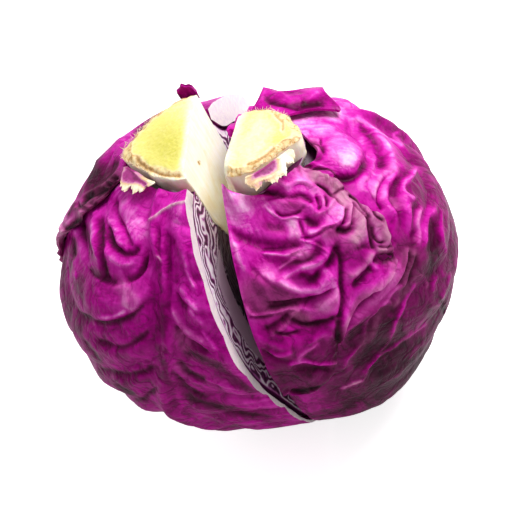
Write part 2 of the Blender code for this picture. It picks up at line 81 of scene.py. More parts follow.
toward_camera = np.array([math.sin(AZIMUTH) * math.cos(ELEVATION),
                          -math.cos(AZIMUTH) * math.cos(ELEVATION), math.sin(ELEVATION)])
level_right = np.array([math.cos(AZIMUTH), math.sin(AZIMUTH), 0.0])
level_up = np.cross(level_right, -toward_camera)
camera_right = math.cos(ROLL) * level_right + math.sin(ROLL) * level_up
camera_up = -math.sin(ROLL) * level_right + math.cos(ROLL) * level_up
camera_place = TARGET + DISTANCE * toward_camera

camera_data = bpy.data.cameras.new("photo_camera")
camera_data.sensor_width = SENSOR_WIDTH
camera_data.lens = FOCAL_PIXELS * SENSOR_WIDTH / PHOTO_SIZE
camera = add_object("photo_camera", camera_data)
axes = np.stack([camera_right, camera_up, toward_camera, camera_place], 1)
camera.matrix_world = Matrix([*axes.tolist(), [0.0, 0.0, 0.0, 1.0]])
bpy.context.scene.camera = camera


def pixels_of(points):
    """Where the photograph shows points, in pixels from its upper left corner."""
    away = points - camera_place
    depth = -away @ toward_camera
    across = PHOTO_SIZE / 2 + FOCAL_PIXELS * (away @ camera_right) / depth
    down = PHOTO_SIZE / 2 - FOCAL_PIXELS * (away @ camera_up) / depth
    return np.stack([across, down], -1)


print("the crown's middle is at pixel", pixels_of(np.zeros(3)).round(1))

# %% [markdown]
# ## The form that every leaf follows
# A cabbage head is an egg of nested leaves. Each leaf is a sheet whose distance from the middle of
# the head is a function of two angles: the fall from the stalk down to the crown, and the turn
# around the stalk. The functions and sizes below are those of the solid model, so that each fine
# piece lies where its solid lies.

# %% Sizes of the head
HALF_WIDTH = 86 * MM
NEAR_DEPTH = 67 * MM
FAR_DEPTH = 76 * MM
CROWN_DEPTH = 98.5 * MM
SHOULDER_HEIGHT = 62.5 * MM
KNIFE_OFF_CENTRE = 7 * MM
LEAN = math.radians(1.95)
CROWN_GAP = 2.5 * MM
FLATTENED = 3.5 * MM
UNEVEN = [(62, 12, 34, -7.0), (136, -56, 34, 3.4), (100, 220, 30, 4.0), (64, 192, 24, -6.0),
          (46, 128, 30, 5.2), (128, 262, 30, -3.0)]
CENTRE_SHIFT = (8.6 * MM, -6.4 * MM)
BLADE = 1.1 * MM
CUT_BLADE = 3.5 * MM
CUT_BLADE_REACH = 13 * MM
CUT_TAPER = 0.55
OVERLAP_RISE = 2.4 * MM
RIB_RISE = 2.6 * MM
PUCKER_RISE = 2.1 * MM
WRINKLE_RISE = 1.15 * MM
PETIOLE_ROOM = 1.0 * MM
KNIFE_SIDE_REACH = 24 * MM
KNIFE_SIDE_SHARE = 0.75
COLLAR_RISE = 6.0 * MM
HOLLOW_DEPTH = 7.5 * MM
HEART_BELOW_SKIN = 4.5 * MM
HEART_OFF_TABLE = 2.2 * MM
STALK_CLEARANCE = 2.2 * MM
LEFT_STALK_OUTLINE = [(0, 1.03), (80, 1.03), (100, 1.04), (122, 1.0), (140, 1.01), (158, 1.05),
                      (172, 1.13), (184, 1.13), (196, 0.98), (210, 0.88), (227, 0.87), (245, 0.90),
                      (262, 0.98), (280, 1.03), (360, 1.03)]
RIGHT_STALK_OUTLINE = [(0, 1.02), (10, 0.96), (26, 0.91), (46, 0.92), (73, 0.98), (92, 1.04), (107, 1.06),
                       (130, 1.05), (230, 1.05), (241, 1.12), (256, 1.06), (268, 0.99), (282, 0.90),
                       (300, 0.82), (318, 0.83), (332, 0.92), (344, 1.05), (352, 1.08), (360, 1.02)]
ASKEW_START = 58 * MM
ASKEW_UPWARD = 0.30
ASKEW_BACKWARD = 0.16
ASKEW_NEAR_END = -23 * MM
STALK_TIP = -26 * MM
RIM_DROP = 1.6 * MM
# The core inside the head, from its tip up: height above the middle and radius, in mm
CORE_PROFILE = [(-18, 4), (-8, 8), (5, 13), (20, 18.5), (33, 23), (41, 26)]


# %% The egg and its swells
def smooth_step(x):
    """Rise smoothly from 0 to 1 as x goes from 0 to 1."""
    x = np.clip(x, 0.0, 1.0)
    return x * x * (3.0 - 2.0 * x)


def smooth_curve(points):
    """A smooth function through (fall, value) points, level past both ends."""
    knots, values = np.array(points, float).T
    steps = np.diff(values)
    slopes = np.gradient(values, knots)
    slopes[1:-1] *= steps[:-1] * steps[1:] > 0

    def curve(fall):
        fall = np.clip(fall, knots[0], knots[-1])
        k = np.clip(np.searchsorted(knots, fall) - 1, 0, len(knots) - 2)
        width = knots[k + 1] - knots[k]
        x = (fall - knots[k]) / width
        start = (1 + 2 * x) * (1 - x) ** 2 * values[k] + x * (1 - x) ** 2 * width * slopes[k]
        end = x * x * (3 - 2 * x) * values[k + 1] + x * x * (x - 1) * width * slopes[k + 1]
        return start + end

    return curve


LEFT_STALK = ((-3 * MM, 6.5 * MM), 26 * MM, SHOULDER_HEIGHT + 5.5 * MM, smooth_curve(LEFT_STALK_OUTLINE))
RIGHT_STALK = ((15 * MM, -6 * MM), 18.5 * MM, SHOULDER_HEIGHT + 4.5 * MM, smooth_curve(RIGHT_STALK_OUTLINE))
PETIOLE_OUTSIDE = smooth_curve([(28, 0.0), (36, 0.4), (52, 3.0), (64, 6.6), (74, 9.4), (84, 10.0), (100, 6.0),
                                (118, 1.0), (126, 0.0)])
PETIOLE_INSIDE = smooth_curve([(32, 0.0), (42, 6.0), (50, 7.4), (63, 4.6), (74, 0.5), (84, -1.0), (104, 0.0)])
KNIFE_SIDE_RISE = smooth_curve([(14, 3.0), (24, 6.6), (45, 7.6), (60, 6.4), (80, 5.0), (94, 3.8), (108, 2.2),
                                (122, 0.8), (134, 0.0)])


def direction(fall, turn):
    """Unit vectors from the middle of the cut."""
    fall, turn = np.broadcast_arrays(np.radians(fall), np.radians(turn))
    ring = np.sin(fall)
    return np.stack([ring * np.cos(turn), ring * np.sin(turn), np.cos(fall)], -1)


def uneven(way):
    """Broad bulges and dents of the egg."""
    height = np.zeros(way.shape[:-1])
    for fall, turn, reach, rise in UNEVEN:
        away = np.degrees(np.arccos(np.clip(way @ direction(fall, turn), -1.0, 1.0)))
        height += rise * MM * (1.0 - smooth_step(away / reach))
    return height


def skin(way):
    """Distance from the middle of the cut to the smooth egg that the head fills."""
    depth = np.where(way[..., 1] > 0, FAR_DEPTH, NEAR_DEPTH)
    height = np.where(way[..., 2] > 0, SHOULDER_HEIGHT, CROWN_DEPTH)
    x, y, z = way[..., 0] / HALF_WIDTH, way[..., 1] / depth, way[..., 2] / height
    offset = KNIFE_OFF_CENTRE / HALF_WIDTH
    a, b, c = x * x + y * y + z * z, x * offset, offset * offset - 1
    return (-b + np.sqrt(b * b - a * c)) / a + uneven(way)


def swell(way):
    """Low swells that every leaf of the head follows, so that the leaves nest."""
    x, y, z = way[..., 0], way[..., 1], way[..., 2]
    waves = np.sin(7.0 * x + 3.0 * z + 1.0) + np.sin(6.0 * y - 5.0 * z + 2.2)
    return 0.42 * MM * (waves + np.sin(8.0 * z + 4.0 * x + 0.4))


# %% Ribs, wrinkles and margins
def wrinkles(way, height, scale):
    """Winding folds like those of a walnut; a larger scale packs them closer."""
    p = way * scale
    bent = p + 0.9 * np.sin(0.8 * np.roll(p, 1, -1) + np.array([0.3, 1.9, 4.1]))
    x, y, z = bent[..., 0], bent[..., 1], bent[..., 2]
    folds = np.sin(x + 1.4 * np.sin(y)) + 0.6 * np.sin(z - 1.2 * np.sin(x))
    return height * (folds + 0.4)


def bump(fall, turn, at_fall, at_turn, reach, height):
    """One round swelling; reach is its radius in degrees of the head."""
    aside = (turn - at_turn) * math.sin(math.radians(at_fall))
    return height * (1.0 - smooth_step(np.hypot(fall - at_fall, aside) / reach))


def ribbed(fall, turn, rib_turn, rise, pucker, spacing):
    """A middle rib between two grooves, and side veins that curve away from it."""
    aside = (turn - rib_turn) * np.sin(np.radians(fall))
    rib = rise * np.exp(-(aside / 2.6) ** 2) - 0.5 * rise * np.exp(-((np.abs(aside) - 6.0) / 2.5) ** 2)
    along = fall - 0.75 * np.abs(aside) + 0.009 * aside ** 2
    puckers = pucker * (np.abs(np.cos(math.pi * along / spacing)) - 0.55)
    return rib + puckers * smooth_step((np.abs(aside) - 4.0) / 8.0)


def petiole(fall, turn, profile):
    """The thick stem of the left back leaf, which the knife split along its length."""
    return MM * profile(fall) * (1.0 - smooth_step((turn - 96.0) / 28.0))


def knife_side(fall, turn):
    """How far the left front leaf, thick along the knife's edge, stands out of the egg there."""
    way = direction(fall, turn)
    near_knife = 1.0 - smooth_step(np.abs(way[..., 0]) * skin(way) / KNIFE_SIDE_REACH)
    return MM * KNIFE_SIDE_RISE(fall) * near_knife * (way[..., 1] < 0.0)


def far_hollow(fall, turn):
    """How much lower the right half lies beside the knife on its far shoulder."""
    away = np.hypot(fall - 40.0, (88.0 - turn) * np.sin(np.radians(fall))) / 34.0
    return HOLLOW_DEPTH * (1.0 - smooth_step(away))


def margin_lift(closeness, fall, height, waves):
    """How far a free margin stands up, in waves along its length."""
    wave = 0.55 + 0.45 * np.sin(np.radians(fall) * waves + 0.8 * np.sin(np.radians(fall) * 7.0))
    return height * smooth_step(closeness) ** 2 * wave


def over(fall, turn, edge_turn, start=16.0):
    """Rise of an upper leaf where it lies on the leaf below, whose margin is at edge_turn."""
    beside = smooth_step((start + 4.0 - edge_turn + turn) / start)
    return OVERLAP_RISE * np.maximum(beside, smooth_step((fall - 124.0) / 14.0))


def shoulder_fall(turn, stalk):
    """Fall at which the skin clears the side of a stalk."""
    (x, y), radius, _, outline = stalk
    angle = np.radians(turn)
    toward = x * np.cos(angle) + y * np.sin(angle)
    wide = radius + STALK_CLEARANCE
    for _ in range(8):
        reach = toward + np.sqrt(toward ** 2 - x ** 2 - y ** 2 + wide ** 2)
        around = np.degrees(np.arctan2(reach * np.sin(angle) - y, reach * np.cos(angle) - x))
        wide = radius * outline(around % 360.0) + STALK_CLEARANCE
    fall = np.full_like(np.asarray(turn, float), 25.0)
    for _ in range(12):
        fall = np.degrees(np.arcsin(reach / skin(direction(fall, turn))))
    return fall


# %% Where each half stands
def press_flat(points, level):
    """Lift what would sink under a plane that lies level above the table."""
    table = FLATTENED + level + math.sin(LEAN) * np.abs(points[..., 0])
    points[..., 2] = np.maximum(points[..., 2], table / math.cos(LEAN) - CROWN_DEPTH)
    return points


def stand(points, side):
    """Points of one half, leaned and set down where the half stands."""
    c, s = math.cos(side * LEAN), math.sin(side * LEAN)
    x, y, z = points[..., 0], points[..., 1], points[..., 2] + CROWN_DEPTH
    shift_x = side * CROWN_GAP / 2 + CENTRE_SHIFT[0]
    return np.stack([c * x + s * z + shift_x, y + CENTRE_SHIFT[1], c * z - s * x - FLATTENED], -1)


print("the left stalk's top is at pixel", pixels_of(stand(np.array([0, 0, LEFT_STALK[2]]), LEFT)).round(1))

# %% [markdown]
# ## Noise in plain arrays
# Crumpled leaf, torn edges and fibres all need an irregularity that is the same on every run. A
# lattice of random numbers with a fixed seed, read smoothly between its points, gives that. Folded
# over at its middle it makes sharp creases between soft bulges, as in crumpled paper.

# %% Lattice noise and creases
LATTICE = np.random.default_rng(11).random(4096) * 2.0 - 1.0
PRIMES = np.array([73856093, 19349663, 83492791])


def noise(points, scale, seed=0):
    """Smooth noise from -1 to 1 whose bumps are about scale wide."""
    p = points / scale + seed * 7.31
    cell = np.floor(p).astype(np.int64)
    share = smooth_step(p - cell)
    total = np.zeros(points.shape[:-1])
    for corner in np.ndindex(2, 2, 2):
        corner = np.array(corner)
        key = np.bitwise_xor.reduce((cell + corner) * PRIMES, -1) % len(LATTICE)
        total += LATTICE[key] * np.prod(np.where(corner == 1, share, 1.0 - share), -1)
    return total


def creased(points, scale, seed=0):
    """Crumpled paper: 1 in the middle of a bulge, down to -1 along sharp creases."""
    shifts = [noise(points, scale * 1.6, seed + k) for k in (1, 2, 3)]
    bent = points + 0.6 * scale * np.stack(shifts, -1)
    return 1.6 * np.abs(noise(bent, scale, seed + 4)) ** 0.7 - 0.7


# %% [markdown]
# ## Folds drawn on a leaf
# A fold that the photograph shows is a line of pixels with a width, a height and a tone. It is drawn
# on the leaf like a chisel line: for each point of the leaf the distance to the line is measured in
# the photograph, and the leaf is raised or sunk there. The tone walks the leaf's colour from 0, nearly
# black, to 1, pale pink. It is partly the pigment, which is paler on rubbed, waxy ridges, and partly
# painted light: painted highlight on the ridges, painted shade in the grooves, creases and pockets,
# and broad patches that paint the light and shade of whole regions. Dry says how far the leaf has
# dried to paper. Both become attributes that the material reads.

# %% One fold line
FOLD_WIDTH = 1.25
FOLD_BLEND = 0.78
FOLD_REACH = 3.2
TONE_GAIN = 1.15
FLAP_STEEP, FLAP_GENTLE = 0.35, 1.6
WOBBLE_PIXELS = 1.3
WOBBLE_SCALE = 5 * MM


def fold(line, width, height=0.0, tone=None, dry=None, flap=False, blend=FOLD_BLEND):
    """One drawn fold: width in pixels, height in mm; a flap is steep on the left of its line."""
    return dict(line=np.array(line, float), width=width * FOLD_WIDTH, height=height * MM, tone=tone,
                dry=dry, flap=flap, blend=blend)


# A ridge is paler by default: painted highlight.
def ridge(line, width=2.5, height=0.9, tone=0.85, **more):
    return fold(line, width, height, tone, **more)


# A groove is darker by default: painted shade.
def groove(line, width=2.5, depth=1.0, tone=0.18, **more):
    return fold(line, width, -depth, tone, **more)


# A patch sets the tone of a broad area; many patches paint the light and shade of a region, some its dry paper.
def patch(line, width=10, tone=0.6, height=0.0, **more):
    return fold(line, width, height, tone, blend=1.0, **more)


CORNER_CUTS = 2


def rounded(line):
    """The line with its corners cut twice, so that it bends instead of breaking."""
    for _ in range(CORNER_CUTS):
        if len(line) < 3:
            break
        near, far = 0.75 * line[:-1] + 0.25 * line[1:], 0.25 * line[:-1] + 0.75 * line[1:]
        line = np.concatenate([line[:1], np.stack([near, far], 1).reshape(-1, 2), line[-1:]])
    return line


def line_strength(pixels, drawn):
    """How strongly a fold acts at each pixel: 1 on its line, fading across it and to its ends."""
    line, width = rounded(drawn["line"]), drawn["width"]
    steps = np.diff(line, axis=0)
    lengths = np.hypot(*steps.T) + TINY
    before = np.concatenate([[0.0], np.cumsum(lengths)])
    nearest = np.full(len(pixels), np.inf)
    side, run = np.zeros(len(pixels)), np.zeros(len(pixels))
    for start, step, length, passed in zip(line, steps, lengths, before):
        away = pixels - start
        share = np.clip(away @ step / length ** 2, 0.0, 1.0)
        gap = away - share[:, None] * step
        distance = np.hypot(gap[:, 0], gap[:, 1])
        closer = distance < nearest
        nearest = np.where(closer, distance, nearest)
        side = np.where(closer, step[0] * away[:, 1] - step[1] * away[:, 0], side)
        run = np.where(closer, passed + share * length, run)
    spread = np.where(side < 0.0, FLAP_STEEP, FLAP_GENTLE) if drawn["flap"] else 1.0
    strength = np.exp(-(nearest / (width * spread)) ** 2)
    taper = np.minimum(run, before[-1] - run) / (1.5 * width) + 0.45
    return strength * np.clip(taper, 0.0, 1.0) if before[-1] > 3 * width else strength


# %% Drawing a list of folds on a grid of points
def grid_normals(points):
    """Unit normals of a grid of points, whichever way round they come."""
    normals = np.cross(np.gradient(points, axis=0), np.gradient(points, axis=1))
    return normals / (np.linalg.norm(normals, axis=-1, keepdims=True) + 1e-12)


def draw_folds(world, folds, height, tone, dry, outward):
    """Add the drawn folds to the height, tone and dry of every point that faces the camera."""
    pixels = pixels_of(world)
    wobble = np.stack([noise(world, WOBBLE_SCALE, 21), noise(world, WOBBLE_SCALE, 22)], -1)
    pixels = (pixels + WOBBLE_PIXELS * wobble).reshape(-1, 2)
    normals = grid_normals(world)
    normals *= np.sign(np.sum(normals * outward, -1, keepdims=True))
    to_camera = camera_place - world
    to_camera /= np.linalg.norm(to_camera, axis=-1, keepdims=True)
    facing = smooth_step((np.sum(normals * to_camera, -1) - 0.02) / 0.12).reshape(-1)
    height, tone, dry = height.reshape(-1).copy(), tone.reshape(-1).copy(), dry.reshape(-1).copy()
    for drawn in folds:
        reach = FOLD_REACH * drawn["width"]
        low, high = drawn["line"].min(0) - reach, drawn["line"].max(0) + reach
        near = np.all((pixels > low) & (pixels < high), -1) & (facing > 0.0)
        if not near.any():
            continue
        strength = line_strength(pixels[near], drawn) * facing[near]
        height[near] += strength * drawn["height"]
        shade = np.clip(strength * drawn["blend"] * TONE_GAIN, 0.0, 1.0)
        for values, key in ((tone, "tone"), (dry, "dry")):
            if drawn[key] is not None:
                values[near] += shade * (drawn[key] - values[near])
    shape = world.shape[:2]
    return height.reshape(shape), tone.reshape(shape), dry.reshape(shape), facing.reshape(shape)


# %% [markdown]
# ## From two sheets of points to a closed piece
# A leaf is a thin closed solid. Its outside has 50,000 to 72,000 points, because that is what shows,
# and its inside, which lies on other leaves, is six times coarser. A strip of triangles closes the
# rim between them, and where the knife passed, that strip is the white cut flesh.

# %% Grids, rims and meshes
INSIDE_STEP = 6


def grid_faces(rows, columns, first=0, turned=False):
    """Two triangles for each cell of a grid whose points are numbered row by row."""
    corner = (np.arange(rows - 1)[:, None] * columns + np.arange(columns - 1)[None, :] + first).reshape(-1)
    one = np.stack([corner, corner + 1, corner + columns + 1], -1)
    two = np.stack([corner, corner + columns + 1, corner + columns], -1)
    faces = np.concatenate([one, two])
    return faces[:, ::-1] if turned else faces


def border(rows, columns):
    """Row and column of every border point, in one closed round."""
    top = [(0, c) for c in range(columns)]
    right = [(r, columns - 1) for r in range(1, rows)]
    bottom = [(rows - 1, c) for c in range(columns - 2, -1, -1)]
    left = [(r, 0) for r in range(rows - 2, 0, -1)]
    return top + right + bottom + left


def rim_faces(rows, columns, step):
    """Triangles between the border of a fine grid and that of the coarse grid behind it."""
    fine = border(rows, columns)
    coarse_columns = (columns - 1) // step + 1
    outer = [r * columns + c for r, c in fine]
    inner = [rows * columns + (r // step) * coarse_columns + c // step
             for r, c in fine if r % step == 0 and c % step == 0]
    faces = []
    for k, (this, following) in enumerate(zip(outer, outer[1:] + outer[:1])):
        faces.append((following, this, inner[((k + step // 2) // step) % len(inner)]))
    for k, (this, following) in enumerate(zip(inner, inner[1:] + inner[:1])):
        faces.append((this, following, outer[k * step + step // 2]))
    return np.array(faces)


def make_mesh(name, points, faces, materials, indices=None, values=None, smooth_angle=46):
    """A mesh object from arrays, with its faces turned outwards and its values as attributes."""
    mesh = bpy.data.meshes.new(name)
    mesh.from_pydata(points.tolist(), [], faces.tolist())
    for material in materials:
        mesh.materials.append(material)
    if indices is not None:
        mesh.polygons.foreach_set("material_index", indices.astype(np.int32))
    for value_name, value in (values or {}).items():
        attribute = mesh.attributes.new(value_name, "FLOAT", "POINT")
        attribute.data.foreach_set("value", value.astype(np.float32))
    bm = bmesh.new()
    bm.from_mesh(mesh)
    bmesh.ops.remove_doubles(bm, verts=bm.verts, dist=1e-6)
    bmesh.ops.recalc_face_normals(bm, faces=bm.faces)
    bm.to_mesh(mesh)
    bm.free()
    mesh.shade_smooth()
    mesh.set_sharp_from_angle(angle=math.radians(smooth_angle))
    obj = add_object(name, mesh)
    print(name, "has", len(mesh.polygons), "triangles")
    return obj


def close_sheet(name, outer, inner, side, materials, values):
    """A closed thin piece from a fine outer grid and an inner grid of the same size."""
    rows, columns = outer.shape[:2]
    inner = inner[::INSIDE_STEP, ::INSIDE_STEP]
    flat = np.concatenate([outer.reshape(-1, 3), inner.reshape(-1, 3)])
    faces = np.concatenate([grid_faces(rows, columns),
                            grid_faces(*inner.shape[:2], first=rows * columns, turned=True),
                            rim_faces(rows, columns, INSIDE_STEP)])
    on_knife = (np.abs(flat[faces][:, :, 0]) < ON_KNIFE).all(1)
    spread = {}
    for value_name, value in values.items():
        inside = value[::INSIDE_STEP, ::INSIDE_STEP]
        spread[value_name] = np.concatenate([value.reshape(-1), inside.reshape(-1)])
    return make_mesh(name, stand(flat, side), faces, materials, on_knife.astype(int), spread)


def tube_faces(rings, count):
    """Triangles between closed rings of count points each, numbered ring by ring."""
    faces = []
    for r in range(rings - 1):
        this = r * count + np.arange(count)
        beside = r * count + (np.arange(count) + 1) % count
        faces.append(np.stack([this, beside, beside + count], -1))
        faces.append(np.stack([this, beside + count, this + count], -1))
    return faces


def inside_of(distance, thickness):
    """Depth of the coarse inner sheet: under the lowest fold nearby, but exact along the rim."""
    step = INSIDE_STEP
    padded = np.pad(distance, step, mode="edge")
    lowest = distance.copy()
    for r in range(0, 2 * step + 1, 2):
        for c in range(0, 2 * step + 1, 2):
            lowest = np.minimum(lowest, padded[r:r + distance.shape[0], c:c + distance.shape[1]])
    lowest[0], lowest[-1] = distance[0], distance[-1]
    lowest[:, 0], lowest[:, -1] = distance[:, 0], distance[:, -1]
    return lowest - thickness


# %% [markdown]
# ## Finishes
# The leaf of a red cabbage is waxy and half glossy. Its colour is one pigment, paler on rubbed ridges,
# and here its ramp runs from nearly black to pale pink: the dark end also paints the shade in creases
# and the pale end the highlight on ridges. Dry parts turn a papery mauve. So the leaf's colour is a ramp
# that the tone attribute walks along, and a second ramp for dry leaf. What the finishes have in common,
# a mottle, fibres and fine creases, is built once each as a node group. The groups put out only numbers,
# and the shader itself stays in each material.

# %% Helpers for node trees
def srgb(red, green, blue):
    """Linear colour of a 0-255 screen colour."""
    screen = [c / 255 for c in (red, green, blue)]
    linear = [((c + 0.055) / 1.055) ** 2.4 if c > 0.04045 else c / 12.92 for c in screen]
    return (*linear, 1.0)


def add_node(tree, kind, values=None, **settings):
    """A node with its settings, and with constants or links on its inputs."""
    node = tree.nodes.new(kind)
    for setting, value in settings.items():
        setattr(node, setting, value)
    for socket, value in (values or {}).items():
        if isinstance(value, bpy.types.NodeSocket):
            tree.links.new(value, node.inputs[socket])
        else:
            node.inputs[socket].default_value = value
    return node


def calculate(tree, operation, *operands, clamp=False):
    """The result of one Math node."""
    node = add_node(tree, "ShaderNodeMath", dict(enumerate(operands)), operation=operation,
                    use_clamp=clamp)
    return node.outputs[0]


def add_up(tree, total, *others, clamp=False):
    """The sum of several values; clamp holds it between 0 and 1 at the end."""
    for k, value in enumerate(others):
        last = k == len(others) - 1
        total = calculate(tree, "ADD", total, value, clamp=clamp and last)
    return total


def colour_ramp(tree, factor, stops):
    """A colour read along (position, screen colour) stops."""
    node = add_node(tree, "ShaderNodeValToRGB", {0: factor})
    elements = node.color_ramp.elements
    elements.remove(elements[-1])
    elements[0].position = stops[0][0]
    elements[0].color = srgb(*stops[0][1])
    for position, colour in stops[1:]:
        elements.new(position).color = srgb(*colour)
    return node.outputs[0]


def mix_colours(tree, share, first, second):
    """First colour where share is 0, second where it is 1."""
    node = add_node(tree, "ShaderNodeMix", data_type="RGBA")
    for socket, value in ((node.inputs[0], share), (node.inputs[6], first), (node.inputs[7], second)):
        if isinstance(value, bpy.types.NodeSocket):
            tree.links.new(value, socket)
        else:
            socket.default_value = value
    return node.outputs[2]


def read_value(tree, name):
    """One of the piece's own attributes."""
    return add_node(tree, "ShaderNodeAttribute", attribute_name=name).outputs["Fac"]


# %% Effects that the finishes share
def new_effect(name, inputs):
    """An empty node group with float inputs and one float output."""
    tree = bpy.data.node_groups.new(name, "ShaderNodeTree")
    for socket_name, value in inputs.items():
        socket = tree.interface.new_socket(socket_name, in_out="INPUT", socket_type="NodeSocketFloat")
        socket.default_value = value
    tree.interface.new_socket("Value", in_out="OUTPUT", socket_type="NodeSocketFloat")
    return tree, tree.nodes.new("NodeGroupInput"), tree.nodes.new("NodeGroupOutput")


def hand_out(tree, result, texture, spread, amount):
    """Centre a noise on 0, spread it and make it the group's output."""
    centred = calculate(tree, "SUBTRACT", texture.outputs[0], 0.5)
    spread = calculate(tree, "MULTIPLY", centred, spread)
    tree.links.new(calculate(tree, "MULTIPLY", spread, amount), result.inputs[0])
    return tree


def mottle_effect():
    """Cloudy patches with fine specks in them, from -Amount to +Amount."""
    tree, given, result = new_effect("mottle", {"Scale": 120.0, "Roughness": 0.6, "Amount": 0.1})
    place = add_node(tree, "ShaderNodeTexCoord").outputs["Object"]
    clouds = add_node(tree, "ShaderNodeTexNoise", {"Vector": place, "Scale": given.outputs["Scale"],
                                                   "Roughness": given.outputs["Roughness"], "Detail": 6.0})
    return hand_out(tree, result, clouds, 3.0, given.outputs["Amount"])


def grain_effect():
    """Long fibres that run along the V of the piece's UV map, from -Amount to +Amount."""
    tree, given, result = new_effect("grain", {"Across": 160.0, "Along": 8.0, "Amount": 0.1})
    uv = add_node(tree, "ShaderNodeUVMap", uv_map="UVMap").outputs[0]
    split = add_node(tree, "ShaderNodeSeparateXYZ", {0: uv})
    across = calculate(tree, "MULTIPLY", split.outputs[0], given.outputs["Across"])
    along = calculate(tree, "MULTIPLY", split.outputs[1], given.outputs["Along"])
    place = add_node(tree, "ShaderNodeCombineXYZ", {0: across, 1: along})
    fibres = add_node(tree, "ShaderNodeTexNoise", {"Vector": place.outputs[0], "Scale": 1.0, "Detail": 3.0,
                                                   "Roughness": 0.55})
    return hand_out(tree, result, fibres, 3.0, given.outputs["Amount"])


def fibre_effect():
    """Fine fibres that stand upright in the piece, from -Amount to +Amount."""
    tree, given, result = new_effect("upright_fibres", {"Across": 800.0, "Along": 60.0, "Detail": 3.0,
                                                        "Amount": 0.15})
    place = add_node(tree, "ShaderNodeTexCoord").outputs["Object"]
    scale = add_node(tree, "ShaderNodeCombineXYZ", {0: given.outputs["Across"], 1: given.outputs["Across"],
                                                    2: given.outputs["Along"]})
    stretched = add_node(tree, "ShaderNodeVectorMath", {0: place, 1: scale.outputs[0]}, operation="MULTIPLY")
    fibres = add_node(tree, "ShaderNodeTexNoise", {"Vector": stretched.outputs[0], "Scale": 1.0,
                                                   "Detail": given.outputs["Detail"]})
    return hand_out(tree, result, fibres, 2.0, given.outputs["Amount"])


def crease_effect():
    """Winding thin creases: 1 between them, falling to 0 along them."""
    tree, given, result = new_effect("crease", {"Scale": 200.0, "Sharpness": 3.0})
    place = add_node(tree, "ShaderNodeTexCoord").outputs["Object"]
    winding = add_node(tree, "ShaderNodeTexNoise", {"Vector": place, "Scale": given.outputs["Scale"],
                                                    "Detail": 3.0, "Roughness": 0.5, "Distortion": 0.6})
    centred = calculate(tree, "ABSOLUTE", calculate(tree, "SUBTRACT", winding.outputs[0], 0.5))
    sharp = calculate(tree, "MULTIPLY", given.outputs["Sharpness"], 3.0)
    scaled = calculate(tree, "MULTIPLY", centred, sharp, clamp=True)
    tree.links.new(calculate(tree, "POWER", scaled, 0.7), result.inputs[0])
    return tree


MOTTLE = mottle_effect()
GRAIN = grain_effect()
FIBRE = fibre_effect()
CREASE = crease_effect()
print("effects:", MOTTLE.name, GRAIN.name, FIBRE.name, CREASE.name)


def use_effect(tree, effect, **values):
    """Place a node group in a material with its own values."""
    node = tree.nodes.new("ShaderNodeGroup")
    node.node_tree = effect
    for socket, value in values.items():
        node.inputs[socket].default_value = value
    return node.outputs[0]


def new_material(name):
    material = bpy.data.materials.new(name)
    material.use_nodes = True
    return material, material.node_tree, material.node_tree.nodes["Principled BSDF"]


def add_bump(tree, shader, height, strength, distance):
    node = add_node(tree, "ShaderNodeBump", {"Strength": strength, "Distance": distance, "Height": height})
    tree.links.new(node.outputs[0], shader.inputs["Normal"])


def set_flesh(shader, roughness, weight, radius, scale):
    """Gloss, and how light soaks into plant flesh and comes out beside."""
    shader.inputs["Roughness"].default_value = roughness
    shader.inputs["Subsurface Weight"].default_value = weight
    shader.inputs["Subsurface Radius"].default_value = radius
    shader.inputs["Subsurface Scale"].default_value = scale


# %% Red cabbage leaf
# The dark end of both ramps paints the shade in creases and pockets, and the pale end paints the highlight on ridges;
# between them lies the leaf's own colour.
FRESH_STOPS = [(0.0, (26, 0, 14)), (0.2, (66, 0, 42)), (0.4, (118, 0, 86)), (0.56, (172, 4, 134)),
               (0.72, (204, 40, 168)), (0.86, (228, 112, 200)), (1.0, (246, 190, 230))]
DRY_STOPS = [(0.0, (34, 8, 24)), (0.3, (82, 26, 56)), (0.6, (150, 76, 116)), (0.85, (200, 136, 166)),
             (1.0, (232, 200, 202))]


def leaf_finish(name, roughness, gloss):
    """Pigment with painted shade and highlight, dry paper, fine veins and a waxy gloss."""
    material, tree, shader = new_material(name)
    cloud = use_effect(tree, MOTTLE, Scale=170.0, Roughness=0.62, Amount=0.10)
    fleck = use_effect(tree, MOTTLE, Scale=900.0, Roughness=0.7, Amount=0.05)
    fibre = use_effect(tree, GRAIN, Across=190.0, Along=14.0, Amount=0.07)
    crease = use_effect(tree, CREASE, Scale=95.0, Sharpness=2.4)
    # Painted shade: the colour darkens along the fine creases.
    sunk = calculate(tree, "MULTIPLY", calculate(tree, "SUBTRACT", crease, 0.8), 0.13)
    shade = add_up(tree, read_value(tree, "tone"), cloud, sunk, fibre, fleck, clamp=True)
    dried = read_value(tree, "dry")
    clouded = calculate(tree, "MULTIPLY", dried, calculate(tree, "MULTIPLY", cloud, 4.0))
    dry = add_up(tree, dried, clouded, clamp=True)
    fresh_colour, dry_colour = (colour_ramp(tree, shade, stops) for stops in (FRESH_STOPS, DRY_STOPS))
    tree.links.new(mix_colours(tree, dry, fresh_colour, dry_colour), shader.inputs["Base Color"])
    dulled = calculate(tree, "MULTIPLY", dry, 0.22)
    rough = add_up(tree, calculate(tree, "MULTIPLY", cloud, 0.6), roughness, dulled)
    relief = add_up(tree, calculate(tree, "MULTIPLY", fibre, 1.2), cloud, fleck,
                    calculate(tree, "MULTIPLY", crease, 0.5))
    add_bump(tree, shader, relief, 0.5, 1.4 * MM)
    set_flesh(shader, roughness, 0.08, (1.0, 0.25, 0.6), 3 * MM)
    tree.links.new(rough, shader.inputs["Roughness"])
    shader.inputs["Specular IOR Level"].default_value = gloss
    return material


